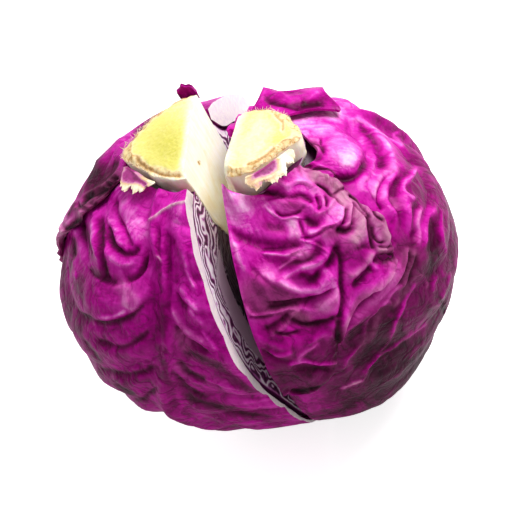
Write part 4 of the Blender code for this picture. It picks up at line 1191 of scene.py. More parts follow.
# %% Folds of the right front leaf
RIGHT_FRONT_FOLDS = [
    # Broad patches of painted light and shade: pale by the knife, darker towards the crown.
    patch([(238, 198), (244, 226)], 20, 0.93),
    patch([(262, 222), (280, 232)], 12, 0.70),
    patch([(246, 256), (256, 262)], 12, 0.72, 0.8),
    patch([(268, 268), (262, 284)], 16, 0.58),
    patch([(255, 292), (275, 296)], 12, 0.56, 0.3, dry=0.5),
    patch([(262, 305), (285, 303)], 10, 0.52, 0.3, dry=0.5),
    patch([(270, 340), (280, 352)], 16, 0.48, 0.4),
    patch([(290, 380), (320, 375)], 22, 0.30),
    patch([(320, 345), (330, 360)], 16, 0.36),
    patch([(350, 250), (358, 262)], 14, 0.50),
    # wavy lip under the torn base: painted highlight on it, painted shadow below it and under the stump, and a pool
    # of painted shade beside its papery patches
    ridge([(253, 187), (258, 183), (265, 182), (272, 180), (278, 183), (283, 187), (289, 186), (296, 183),
           (304, 182), (311, 186), (317, 191)], 2.6, 1.4, 0.88),
    groove([(252, 190), (262, 191), (271, 193), (280, 195), (291, 199), (301, 196), (308, 199), (313, 205)],
           3.0, 1.6, 0.16),
    groove([(226, 186), (236, 189), (248, 188)], 2.0, 0.8, 0.40),
    patch([(285, 203), (298, 205)], 8, 0.72, 0.8, dry=0.25),
    patch([(291, 204), (297, 205)], 4, 0.56, 0.0, dry=0.3),
    groove([(266, 200), (276, 198), (286, 195)], 1.6, 0.6, 0.44),
    ridge([(262, 205), (268, 211), (276, 215), (284, 219), (300, 219)], 1.5, 0.6, 0.93),
    groove([(276, 212), (283, 216), (291, 216), (299, 213), (305, 206)], 1.6, 0.8, 0.42),
    patch([(264, 225), (276, 228), (288, 227)], 4.5, 0.52, -0.6, dry=0.2),
    patch([(292, 224), (294, 238)], 5.5, 0.90, 0.6, dry=0.2),
    # rolled folds at the right: painted highlight on the rolls, painted shade in the pockets between them
    groove([(300, 221), (302, 229), (304, 236)], 1.6, 0.9, 0.26),
    groove([(308, 214), (310, 222), (317, 226), (322, 222)], 5.0, 2.0, 0.20),
    ridge([(313, 217), (321, 213), (328, 208), (333, 202), (334, 196)], 2.3, 1.5, 0.82, dry=0.3),
    ridge([(321, 194), (324, 201), (323, 208)], 2.2, 1.3, 0.84, dry=0.2),
    groove([(317, 196), (320, 205), (318, 210)], 1.4, 0.9, 0.30),
    groove([(326, 195), (328, 202), (325, 208)], 1.4, 0.9, 0.26),
    ridge([(309, 203), (313, 209), (316, 215)], 2.4, 1.1, 0.80),
    ridge([(337, 206), (342, 212), (341, 219), (334, 225), (325, 230), (315, 232), (306, 235)],
          3.4, 1.5, 0.90),
    ridge([(343, 214), (338, 220), (330, 225), (321, 228)], 1.2, 0.5, 0.96),
    groove([(303, 238), (311, 237), (320, 235), (327, 230), (334, 226)], 1.8, 1.0, 0.46),
    patch([(328, 234), (335, 232)], 6, 0.60, 0.3, dry=0.5),
    # first long valley, darkened by painted shade, and the tongue below it, with painted highlight along its edges
    groove([(229, 229), (237, 235), (247, 240), (260, 243), (275, 245), (290, 246), (301, 243)],
           4.6, 1.5, 0.42),
    ridge([(229, 229), (233, 239), (237, 250), (240, 260), (245, 269)], 2.6, 0.7, 0.90),
    groove([(262, 249), (275, 250), (288, 249), (300, 246)], 1.8, 0.8, 0.34),
    ridge([(263, 253), (274, 255), (285, 256), (293, 252), (300, 248)], 1.4, 0.8, 0.94),
    patch([(296, 254), (307, 257)], 5.5, 0.78, 0.5, dry=0.45),
    groove([(284, 263), (294, 262), (304, 263), (314, 258)], 2.4, 0.9, 0.36, dry=0.3),
    ridge([(279, 270), (285, 265), (291, 260), (300, 256)], 1.4, 0.7, 0.80, dry=0.3),
    ridge([(301, 240), (309, 243), (318, 247), (326, 251), (328, 254)], 1.3, 0.7, 0.84),
    ridge([(328, 254), (323, 260), (313, 265), (301, 269), (290, 273), (282, 278)], 2.6, 1.4, 0.90),
    patch([(318, 246), (316, 254)], 5, 0.44, -0.4),
    groove([(336, 244), (334, 257), (327, 268), (318, 276), (309, 283)], 3.4, 1.6, 0.20),
    ridge([(277, 279), (285, 284), (295, 289), (306, 291), (315, 290), (322, 285), (330, 278)],
          3.2, 1.6, 0.90),
    groove([(298, 275), (305, 276), (311, 280), (314, 284)], 3.2, 1.3, 0.30),
    patch([(327, 272), (333, 277)], 4.5, 0.84, 0.8),
    patch([(265, 271), (272, 277)], 5.5, 0.84, 0.6, dry=0.2),
    groove([(252, 268), (262, 280), (276, 288), (290, 294)], 2.4, 0.8, 0.50),
    # flat papery layers, with painted shadow under their edges and painted highlight on their rims
    groove([(271, 301), (285, 302), (300, 299), (316, 297), (332, 289)], 3.0, 1.2, 0.24, flap=True),
    groove([(269, 307), (284, 307), (298, 304)], 1.8, 0.8, 0.28),
    ridge([(246, 306), (251, 313), (257, 315), (268, 313), (282, 310), (297, 309)], 1.4, 0.8, 0.74, dry=0.4),
    groove([(250, 316), (260, 317), (272, 314)], 1.4, 0.6, 0.46),
    ridge([(300, 309), (292, 315), (288, 323), (281, 329), (272, 333)], 1.5, 0.9, 0.68, dry=0.5),
    groove([(289, 314), (284, 321), (275, 326), (264, 329)], 3.0, 1.2, 0.20),
    patch([(296, 315), (306, 318)], 5.5, 0.54, 0.3, dry=0.7),
    groove([(291, 320), (300, 324), (312, 326), (325, 323), (337, 318)], 2.8, 1.3, 0.12),
    patch([(322, 309), (333, 301)], 6.5, 0.76, 0.8, dry=0.4),
    ridge([(339, 288), (335, 297), (328, 303), (319, 309)], 2.2, 0.8, 0.82, dry=0.3),
    ridge([(302, 307), (309, 309), (315, 312), (321, 316)], 1.8, 0.8, 0.74),
    groove([(274, 331), (286, 334), (298, 332)], 1.6, 0.8, 0.22),
    ridge([(256, 336), (270, 343), (284, 347)], 2.6, 0.6, 0.62),
    ridge([(268, 352), (280, 355), (291, 352)], 2.0, 0.6, 0.66),
    groove([(262, 350), (276, 360), (292, 362)], 1.8, 0.7, 0.26),
    ridge([(306, 343), (314, 338), (323, 333), (333, 334)], 2.6, 0.9, 0.58),
    ridge([(297, 361), (301, 355), (307, 350), (316, 344)], 2.4, 0.9, 0.74, dry=0.3),
    ridge([(289, 364), (300, 361), (313, 363), (326, 364), (341, 360)], 1.6, 0.8, 0.72),
    groove([(294, 368), (312, 369), (330, 370)], 2.2, 0.8, 0.20),
    ridge([(290, 395), (302, 394), (314, 391), (324, 386), (333, 378)], 1.8, 0.8, 0.62),
    groove([(290, 390), (304, 391), (318, 388), (329, 383), (340, 370)], 1.6, 0.9, 0.06),
    # the long crease beside the next leaf, darkened by painted shade
    groove([(337, 245), (342, 262), (342, 282), (343, 300), (341, 320)], 2.0, 1.2, 0.20),
    groove([(340, 320), (338, 340), (341, 356), (341, 368)], 3.0, 1.4, 0.08),
    # papery blocks along the dry margin, with painted shade in the gaps and pockets between them
    patch([(318, 176), (332, 182), (340, 190)], 8, 0.74, 0.5, dry=0.9),
    groove([(311, 169), (324, 169), (333, 172), (341, 178), (346, 185), (347, 190)], 1.3, 1.0, 0.14, dry=0.7),
    groove([(316, 184), (325, 189), (332, 195), (337, 202), (343, 206)], 1.2, 0.9, 0.18, dry=0.7),
    groove([(333, 194), (340, 190), (347, 187), (354, 190)], 1.3, 0.9, 0.16, dry=0.7),
    patch([(342, 197), (350, 205)], 6, 0.78, 0.5, dry=0.9),
    ridge([(351, 203), (350, 213), (349, 221), (345, 228)], 2.0, 1.1, 0.88, dry=0.6),
    groove([(346, 208), (346, 217), (342, 224)], 1.6, 1.0, 0.18),
    groove([(353, 202), (353, 214), (352, 226)], 1.4, 1.0, 0.20, dry=0.4),
    groove([(340, 229), (346, 232), (351, 230)], 3.4, 2.0, 0.04),
    groove([(350, 195), (357, 201), (363, 208), (370, 217)], 1.0, 0.8, 0.16, dry=0.8),
    groove([(354, 204), (361, 211), (367, 218)], 1.0, 0.8, 0.18, dry=0.8),
    patch([(357, 208), (361, 222), (359, 236), (347, 242)], 6.5, 0.80, 1.0, dry=0.85),
    groove([(368, 216), (369, 228), (371, 240), (374, 250)], 1.8, 1.3, 0.12, dry=0.4),
    patch([(376, 212), (384, 226), (386, 242)], 6.5, 0.74, 0.8, dry=0.85),
    groove([(372, 226), (373, 236), (378, 242), (384, 241)], 1.3, 0.9, 0.18, dry=0.7),
    groove([(373, 209), (376, 217), (382, 221)], 1.2, 0.8, 0.16, dry=0.7),
    groove([(378, 246), (386, 248), (392, 246)], 1.4, 0.9, 0.16, dry=0.6),
    patch([(380, 250), (390, 250)], 3.0, 0.76, 0.5, dry=0.85),
    groove([(380, 256), (388, 258), (396, 254)], 3.6, 2.0, 0.08),
    ridge([(391, 217), (394, 227), (399, 238), (403, 249), (402, 262)], 2.4, 1.2, 0.78, dry=0.25),
    groove([(394, 222), (401, 232), (407, 243)], 1.4, 0.9, 0.22),
    ridge([(399, 228), (404, 237), (408, 247)], 1.4, 0.8, 0.66, dry=0.5),
    ridge([(373, 252), (368, 260), (362, 268), (355, 275), (347, 277)], 3.0, 1.2, 0.80, dry=0.6),
    groove([(377, 258), (370, 270), (360, 279), (351, 287)], 3.0, 1.4, 0.20),
    groove([(356, 248), (366, 246), (372, 250)], 2.4, 0.8, 0.40),
    ridge([(372, 262), (376, 268)], 2.6, 0.8, 0.84),
    ridge([(352, 279), (350, 290), (346, 300)], 3.0, 0.8, 0.62),
    # the bead of leaf beside the stump, with a painted highlight on it and painted shade round it
    patch([(233, 179), (241, 180)], 5.0, 0.62, 1.8),
    patch([(238, 176), (239, 181)], 2.0, 0.97, 0.4),
    groove([(226, 180), (230, 186), (238, 189), (246, 186), (249, 178)], 1.8, 1.2, 0.14),
]

# %% Right front leaf
def right_front_bottom(across):
    return front_foot(-90.0 + 57.0 * across) + 1.2 * np.sin(15.0 * across)


grid = leaf_grid(RIGHT_STALK, RIGHT_KNIFE[0], front_high, right_front_bottom, 331, 169)
fall, turn, down, across = grid
way = direction(fall, turn)
calm = smooth_step((fall - 34.0) / 14.0) * (1.0 - smooth_step((fall - 100.0) / 26.0))
relief = wrinkles(way, WRINKLE_RISE, 15.0) * calm * smooth_step((turn + 90.0) / 10.0)
over_back = smooth_step((18.0 - back_low(fall) + turn) / 16.0)
collar = COLLAR_RISE * (1.0 - smooth_step(down / 0.18)) * (1.0 - smooth_step((turn + 82.0) / 16.0))
collar = collar * (0.4 + 0.6 * smooth_step((turn + 90.0) / 8.0))
relief += OVERLAP_RISE * over_back
relief += margin_lift((across - 0.80) / 0.2, fall, 1.2 * MM, 19.0) + collar
relief += margin_lift((down - 0.86) / 0.14, turn, 1.6 * MM, 15.0)
closeness = np.maximum((across - 0.82) / 0.18, (down - 0.92) / 0.08)
relief += 0.5 * MM * frayed_edge(closeness, fall + 0.6 * turn, 1.3)
# Darker towards the crown; painted shade where the relief sinks and painted highlight where it stands up.
tone = 0.66 - 0.24 * smooth_step((fall - 60.0) / 50.0) + 0.05 * relief / MM
dry = 0.6 * smooth_step(closeness * 1.4 - 0.4) * (1.0 - smooth_step((fall - 96.0) / 14.0))
thickness = thickness_at(way, skin(way) + swell(way) + relief, lifted=collar, over_leaf=over_back)
right_front = dress_leaf("right_front_leaf_fine", RIGHT, grid, relief, tone, RIGHT_FRONT_FOLDS, 0.7, dry,
                         thickness)

# %% [markdown]
# ## The small leaves behind the stumps
# Behind the right stump a young leaf curls up, and behind the left one only a torn scrap is left.
# Both have rolled lips, made paler than the leaf by painted highlight.

# %% Right top leaf
RIGHT_TOP_FOLDS = [
    # Painted highlight on the rolled lips, painted shade in the grooves under them.
    ridge([(262, 104), (263, 96), (266, 91), (272, 91)], 2.2, 0.8, 0.70),
    ridge([(272, 92), (280, 94), (288, 98), (300, 97), (312, 94)], 2.0, 0.6, 0.66),
    groove([(268, 100), (276, 104), (288, 106), (300, 107)], 2.4, 0.8, 0.22),
    ridge([(318, 92), (312, 97), (306, 103), (300, 101)], 2.0, 0.7, 0.80),
    groove([(300, 104), (310, 105), (320, 104)], 3.0, 0.6, 0.14),
]

across = np.linspace(0.0, 1.0, 157)[None, :]
down = np.linspace(0.0, 1.0, 85)[:, None]
turn = 27.0 + across * (32.0 + 13.0 * down)
top = shoulder_fall(turn, RIGHT_STALK) + 1.0
bottom = 47.0 - 10.0 * smooth_step((across - 0.42) / 0.18) + 1.5 * np.sin(across * 16.0)
fall = top + down * (bottom - top)
relief = 3.0 * MM + 2.2 * MM * down * (0.5 + 0.5 * np.sin(across * 9.0 + 4.0))
relief = relief + 0.6 * MM * np.sin(across * 16.0 + down * 3.0) * down
# Painted highlight where the relief stands up, painted shade where it sinks.
tone = 0.64 + 0.08 * (relief / MM - 4.0)
right_top = dress_leaf("right_top_leaf_fine", RIGHT, (fall, turn), relief, tone, RIGHT_TOP_FOLDS, 0.5,
                       0.0, BLADE + 0.0 * relief)

# %% [markdown]
# ## What is left of torn leaves
# Under each stump's rim stands the base of a leaf that was torn off: a short skirt of cream flesh
# with a fibrous lower edge and a magenta window where its skin is still on. It needs its own
# finish, whose tone runs from maroon skin over lilac to cream.

# %% Torn base finish
TORN_STOPS = [(0.0, (96, 4, 62)), (0.25, (168, 44, 130)), (0.45, (212, 140, 176)),
              (0.62, (222, 184, 140)), (0.82, (244, 230, 196)), (1.0, (253, 248, 230))]


def torn_base_finish():
    """Maroon skin at a tone of 0, lilac and tan between, and cream flesh at 1."""
    material, tree, shader = new_material("torn_flesh")
    cloud = use_effect(tree, MOTTLE, Scale=260.0, Roughness=0.6, Amount=0.10)
    fibre = use_effect(tree, FIBRE, Across=900.0, Along=90.0, Detail=2.0, Amount=0.15)
    rough = add_up(tree, cloud, fibre)
    shade = add_up(tree, read_value(tree, "tone"), rough, clamp=True)
    tree.links.new(colour_ramp(tree, shade, TORN_STOPS), shader.inputs["Base Color"])
    add_bump(tree, shader, rough, 0.5, 1.0 * MM)
    set_flesh(shader, 0.48, 0.15, (1.0, 0.7, 0.5), 3 * MM)
    return material


TORN_FLESH = torn_base_finish()


# %% Torn bases
def torn_base(name, side, stalk, turns, shape, tone, folds, material):
    """A skirt of leaf under the rim of a stalk, with a ragged, fibrous lower edge."""
    (x, y), radius, top, outline = stalk
    above_rim, flare, drop, lopsided, skew, seed = shape
    across = np.linspace(0.0, 1.0, 151)[None, :]
    down = np.linspace(0.0, 1.0, 43)[:, None]
    turn = turns[0] + across * (turns[1] - turns[0])
    torn = 1.0 + 0.16 * np.sin(across * 13.0 + seed) + 0.10 * np.sin(across * 29.0 + 2 * seed)
    torn = torn + 0.04 * np.sin(across * 83.0 + seed) + 0.03 * np.sin(across * 167.0 + seed)
    ends = np.sqrt(np.clip(1.0 - (2.0 * across - 1.0) ** 4, 0.12, 1.0)) * (1.0 - lopsided * across)
    length = down * torn * ends
    turn = turn + skew * length
    reach = radius * outline(turn % 360.0) + 1.6 * MM + flare * length ** 1.3
    reach = reach + 0.35 * MM * np.sin(across * 40.0 + seed) * down ** 2
    turn = np.radians(turn)
    pointed = 0.4 + 0.6 * np.sin(math.pi * across) * (1.0 + 0.3 * np.sin(14.0 * across))
    height = top + above_rim * (pointed if above_rim > 0 else 1.0) - drop * length
    sheets = []
    for wall in (1.5 * MM, 0.0):
        walls = wall * (1.0 - 0.5 * smooth_step((down - 0.75) / 0.25))
        sheets.append(np.stack([x + (reach + walls) * np.cos(turn), y + (reach + walls) * np.sin(turn),
                                height + 0.3 * wall + 0 * reach], -1))
    outer, inner = sheets
    outward = np.stack([np.cos(turn), np.sin(turn), 0 * turn], -1) + 0 * outer
    values = draw_folds(stand(outer, side), folds, 0 * height, tone + 0 * height, 0 * height, outward)
    outer = outer + outward * values[0][..., None]
    return close_sheet(name, outer, inner, side, [material, CUT_FLESH], {"tone": values[1], "dry": values[2]})


LEFT_BASE_FOLDS = [
    patch([(124, 176), (132, 180)], 6, 0.20),
    ridge([(119, 165), (117, 180), (118, 195)], 3.0, 0.4, 0.92),
    ridge([(121, 186), (136, 186), (152, 190)], 3.0, 0.4, 0.88),
    groove([(120, 160), (128, 170), (138, 181), (146, 186)], 2.0, 0.5, 0.05),
]
LEFT_TOP_FOLDS = [
    # A rolled lip paled by painted highlight, over a groove darkened by painted shade.
    ridge([(184, 96), (190, 89), (198, 87), (203, 92)], 2.2, 0.6, 0.52),
    groove([(188, 97), (194, 93), (200, 95)], 2.0, 0.8, 0.12),
]
RIGHT_BASE_FOLDS = [
    patch([(254, 182), (264, 173), (276, 160)], 5.5, 0.16),
    ridge([(281, 150), (284, 162), (283, 172)], 3.4, 0.5, 0.98),
    ridge([(253, 183), (262, 178), (272, 174), (283, 172)], 2.0, 0.4, 0.74),
]
left_base = torn_base("left_leaf_base_fine", LEFT, LEFT_STALK, (193.0, 240.0),
                      (-2.6 * MM, 11.5 * MM, 2.6 * MM, 0.78, 14.0, 0.5), 0.84, LEFT_BASE_FOLDS, TORN_FLESH)
right_base = torn_base("right_leaf_base_fine", RIGHT, RIGHT_STALK, (-98.0, -34.0),
                       (-1.4 * MM, 7.0 * MM, 3.6 * MM, 0.2, 0.0, 1.2), 0.80, RIGHT_BASE_FOLDS, TORN_FLESH)
left_top = torn_base("left_top_leaf_fine", LEFT, LEFT_STALK, (86.0, 101.0),
                     (3.4 * MM, 4.0 * MM, 12.0 * MM, 0.3, 0.0, 2.0), 0.48, LEFT_TOP_FOLDS, LEAF)
for leafy in (left_base, right_base, left_top):
    map_leaf(leafy, LEFT, np.zeros(1))

# %% [markdown]
# ## The sawn stumps and their cores
# The stump is one body with the pale core that the leaves grow from. Its sawn end is yellow-green
# pith inside a crusty tan rim, its wall is smooth and cream, and the knife left its core flat and
# cream. Each point of it lies on a closed outline, an arc and the straight line of the cut, that
# shrinks to the middle of the end above and follows the core's width down to its tip.

# %% Stalk finish
PITH_STOPS = [(0.0, (255, 251, 241)), (0.3, (244, 236, 190)), (0.6, (226, 217, 122)), (1.0, (198, 190, 60))]
BARK_STOPS = [(0.0, (250, 236, 206)), (0.45, (240, 212, 162)), (0.7, (206, 160, 96)), (1.0, (120, 78, 32))]


def stalk_finish():
    """Flesh from cream at a tone of 0 to yellow-green pith at 1, under a tan crust where dry, which on the cut core
    also paints shade.
    """
    material, tree, shader = new_material("stalk_flesh_fine")
    cloud = use_effect(tree, MOTTLE, Scale=150.0, Roughness=0.6, Amount=0.12)
    fleck = use_effect(tree, MOTTLE, Scale=1100.0, Roughness=0.7, Amount=0.12)
    fibre = use_effect(tree, FIBRE, Across=700.0, Along=40.0, Detail=3.0, Amount=0.175)
    yellow = add_up(tree, read_value(tree, "tone"), add_up(tree, cloud, fibre), clamp=True)
    spotted = add_up(tree, cloud, fleck)
    crust = add_up(tree, read_value(tree, "dry"), spotted, clamp=True)
    flesh = colour_ramp(tree, yellow, PITH_STOPS)
    bark = colour_ramp(tree, add_up(tree, crust, fleck, clamp=True), BARK_STOPS)
    share = calculate(tree, "MULTIPLY", crust, 1.8, clamp=True)
    tree.links.new(mix_colours(tree, share, flesh, bark), shader.inputs["Base Color"])
    add_bump(tree, shader, add_up(tree, fibre, calculate(tree, "MULTIPLY", spotted, 1.2)), 0.4, 0.8 * MM)
    set_flesh(shader, 0.42, 0.25, (1.0, 0.8, 0.4), 4 * MM)
    return material


STALK_FLESH = stalk_finish()
print("stalk finish:", STALK_FLESH.name)


# %% Outlines of a stalk
def stalk_width(stalk, height):
    """Radius of a stalk at a height, and how far it has become the core inside the head."""
    _, radius, top, _ = stalk
    shoulder, rim = SHOULDER_HEIGHT / MM - 9, (top - RIM_DROP) / MM
    reach = smooth_curve([(STALK_TIP / MM, 0.2), *CORE_PROFILE, (shoulder, 0.96 * radius / MM), (rim, radius / MM)])
    return reach(height / MM) * MM, smooth_step((SHOULDER_HEIGHT - 6 * MM - height) / (18 * MM))


def knife_at(side, aside, height):
    """Where the cut lies: on the middle plane, but askew on the right stump."""
    askew = ASKEW_UPWARD * (height - ASKEW_START) + ASKEW_BACKWARD * (aside - ASKEW_NEAR_END)
    return np.maximum(askew, 0.0) if side == RIGHT else 0.0 * askew


def stalk_outline(side, stalk, height, count):
    """One closed outline at a height: round, but straight where the knife passed."""
    (middle_x, middle_y), _, _, outline = stalk
    reach, sunk = stalk_width(stalk, height)
    angle = np.linspace(0.0, 2.0 * math.pi, count, endpoint=False)
    rough = outline(np.degrees(angle)) - 1.0 + 0.012 * np.sin(11.0 * angle)
    reach = reach * (1.0 + (1 - sunk) * rough)
    flat_x = middle_x * (1 - sunk) + reach * np.cos(angle)
    flat_y = middle_y + reach * np.sin(angle)
    cut = knife_at(side, flat_y, height)
    return np.stack([np.where(side * (flat_x - cut) < 0.0, cut, flat_x), flat_y], -1)


def sawn_end(stalk, flat):
    """Height of the sawn end over a place on it, and how crusty it is there."""
    (middle_x, middle_y), radius, top, outline = stalk
    angle = np.degrees(np.arctan2(flat[..., 1] - middle_y, flat[..., 0] - middle_x))
    around = np.hypot(flat[..., 0] - middle_x, flat[..., 1] - middle_y) / (radius * outline(angle % 360.0))
    spots = np.concatenate([flat, 0 * flat[..., :1]], -1)
    wander = 0.05 * noise(spots, 6 * MM, 35)
    crust = smooth_step((around + wander - 0.80) / 0.07)
    rough = 0.50 * creased(spots, 3.2 * MM, 31) + 0.30 * noise(spots, 1.3 * MM, 33)
    profile = smooth_curve([(0.0, 0.9), (0.55, 0.7), (0.9, 0.0), (1.0, -RIM_DROP / MM)])
    return top + MM * (profile(around) + crust * (rough + 0.2) + 0.12 * noise(spots, 1.0 * MM, 34)), crust


def fine_stalk(name, side, stalk, folds, glow):
    """The stump, its crusted rim, its wall and its cut core as one closed piece."""
    (middle_x, middle_y), _, top, _ = stalk
    count = 260
    rim = stalk_outline(side, stalk, top - RIM_DROP, count)
    middle = rim.mean(0)
    rows, crusts, ends = [], [], []
    for share in np.linspace(0.02, 1.0, 56):
        flat = middle + share * (rim - middle)
        height, crust = sawn_end(stalk, flat)
        rows.append(np.concatenate([flat, height[:, None]], -1))
        crusts.append(crust)
        ends.append(np.ones(count))
    edge = rows[-1][:, 2]
    for share in np.linspace(0.0, 1.0, 171)[1:]:
        level = (top - RIM_DROP) + share * (STALK_TIP - top + RIM_DROP)
        flat = stalk_outline(side, stalk, level, count)
        raised = (edge - top + RIM_DROP) * (1.0 - share) ** 12
        rows.append(np.concatenate([flat, (level + raised)[:, None]], -1))
        crusts.append(0 * edge + 0.55 * (1.0 - smooth_step(share / 0.025)))
        ends.append(np.zeros(count))
    points, crust, on_end = np.array(rows), np.array(crusts), np.array(ends) > 0.5
    cut = knife_at(side, points[..., 1], points[..., 2])
    to_cut = np.abs(points[..., 0] - cut)
    on_cut = (to_cut < 1e-6) & ~on_end
    out = np.stack([points[..., 0] - middle_x, points[..., 1] - middle_y, 0 * crust], -1)
    out /= np.linalg.norm(out, axis=-1, keepdims=True) + 1e-9
    up = np.array([0.0, 0.0, 1.0]) + 0 * out
    knife = np.array([-side, 0.0, 0.0]) + 0 * out
    outward = np.where(on_cut[..., None], knife, np.where(on_end[..., None], up, out))
    pocks = noise(points, 4.0 * MM, 41) * 0.25 * MM * (~on_end & ~on_cut)
    points = points + outward * pocks[..., None]
    glow_at = np.exp(-np.sum((pixels_of(stand(points, side)) - np.array(glow)) ** 2, -1) / 30.0 ** 2)
    softened = smooth_step(to_cut / (5 * MM))
    yellow = np.where(on_end, 0.16 + softened * (0.26 + 0.46 * glow_at), 0.05 + 0.12 * ~on_cut)
    crust = crust * np.where(on_end, smooth_step(to_cut / (2.5 * MM)), 1.0 - on_cut)
    dry = 0.42 * crust + 0.55 * crust * np.clip(-creased(points, 2.4 * MM, 51), 0.0, 1.0)
    height, yellow, dry, _ = draw_folds(stand(points, side), folds, 0 * dry, yellow, dry, outward)
    points = points + outward * height[..., None]
    return close_stalk(name, side, points, {"tone": yellow, "dry": dry})


def close_stalk(name, side, rows, values):
    """Join rows of closed outlines, with one point to close each end."""
    count = rows.shape[1]
    ends = rows[[0, -1]].mean(1)
    points = stand(np.concatenate([rows.reshape(-1, 3), ends]), side)
    faces = tube_faces(len(rows), count)
    for end, first in ((0, 0), (1, (len(rows) - 1) * count)):
        this = first + np.arange(count)
        tip = np.full(count, rows.shape[0] * count + end)
        faces.append(np.stack([this, first + (np.arange(count) + 1) % count, tip], -1))
    spread = {}
    for key, value in values.items():
        spread[key] = np.concatenate([value.reshape(-1), value[[0, -1]].mean(1)])
    return make_mesh(name, points, np.concatenate(faces), [STALK_FLESH], None, spread, smooth_angle=60)


LEFT_STALK_FOLDS = [
    ridge([(183, 178), (192, 190), (203, 204), (213, 217), (221, 226)], 1.4, 0.2, 0.30, dry=0.42),
    ridge([(180, 176), (190, 192), (202, 210)], 3.0, 0.0, 0.10, dry=0.10),
    groove([(198, 162), (199, 164)], 0.9, 0.3, 0.1, dry=0.95),
    # Painted shade: a tan darkening at the foot of the cut core.
    patch([(221, 228), (226, 236)], 6, 0.4, 0.0, dry=0.40),
    patch([(150, 176), (178, 181)], 4, 0.10, 0.2, dry=0.05),
    # These two patches are painted shade: a tan darkening on the right and lower part of the cut core.
    patch([(224, 176), (226, 204), (224, 224)], 7, 0.12, 0, dry=0.24),
    patch([(205, 195), (214, 214)], 5, 0.20, 0, dry=0.25),
    groove([(205, 150), (212, 175), (218, 200)], 1.2, 0.15, 0.15, dry=0.22),
    groove([(136, 160), (146, 168), (158, 174), (172, 177), (181, 175)], 1.5, 0.5, 0.3, dry=0.85),
]
RIGHT_STALK_FOLDS = [
    groove([(246, 165), (256, 161), (266, 155), (274, 146)], 1.6, 0.5, 0.2, dry=0.85),
    groove([(272, 112), (281, 120), (284, 132)], 1.8, 0.5, 0.2, dry=0.70),
    patch([(248, 152), (262, 128)], 15, 0.36),
]
left_stalk = fine_stalk("left_stalk_fine", LEFT, LEFT_STALK, LEFT_STALK_FOLDS, (168, 147))
right_stalk = fine_stalk("right_stalk_fine", RIGHT, RIGHT_STALK, RIGHT_STALK_FOLDS, (262, 134))

# %% [markdown]
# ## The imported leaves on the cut
# Cut through, the inner leaves are winding white bands between thin purple skins. They are one
# dense body here, so the bands are a value that grows from the outside inwards and winds more the
# deeper it lies. Wherever it passes a whole number the finish draws a skin, and the face dips there.

# %% Packed leaves finish
def packed_finish():
    material, tree, shader = new_material("packed_leaves_fine")
    cloud = use_effect(tree, MOTTLE, Scale=500.0, Roughness=0.6, Amount=0.09)
    layer = calculate(tree, "ADD", read_value(tree, "layer"), cloud)
    toward_skin = calculate(tree, "PINGPONG", layer, 0.5)
    band_stops = [(0.0, (54, 0, 42)), (0.36, (98, 6, 80)), (0.50, (182, 88, 166)),
                  (0.63, (231, 204, 227)), (1.0, (250, 244, 244))]
    bands = colour_ramp(tree, calculate(tree, "MULTIPLY", toward_skin, 2.0), band_stops)
    # The rib band is a greyed lilac: a pale rib with painted shade from the right half over it.
    rib = mix_colours(tree, read_value(tree, "band"), bands, srgb(206, 176, 196))
    # Painted shade: dark maroon deep in the gap between the halves.
    gap_shade = mix_colours(tree, read_value(tree, "gap_shade"), rib, srgb(48, 6, 34))
    tree.links.new(gap_shade, shader.inputs["Base Color"])
    add_bump(tree, shader, toward_skin, 0.4, 0.0012)
    set_flesh(shader, 0.4, 0.12, (1.0, 0.6, 0.8), 2 * MM)
    return material


PACKED = packed_finish()


# %% Packed leaves
def stalk_half_width(side, stalk, height, aside):
    """How far the stalk reaches behind the cut at each place on it, or a negative number outside it."""
    (middle_x, middle_y), _, _, _ = stalk
    reach, sunk = stalk_width(stalk, height)
    squared = reach ** 2 - (aside - middle_y) ** 2
    inside = (squared > (1.0 * MM) ** 2) & (height > STALK_TIP)
    return np.where(inside, side * middle_x * (1 - sunk) + np.sqrt(np.maximum(squared, 0.0)), -1.0)


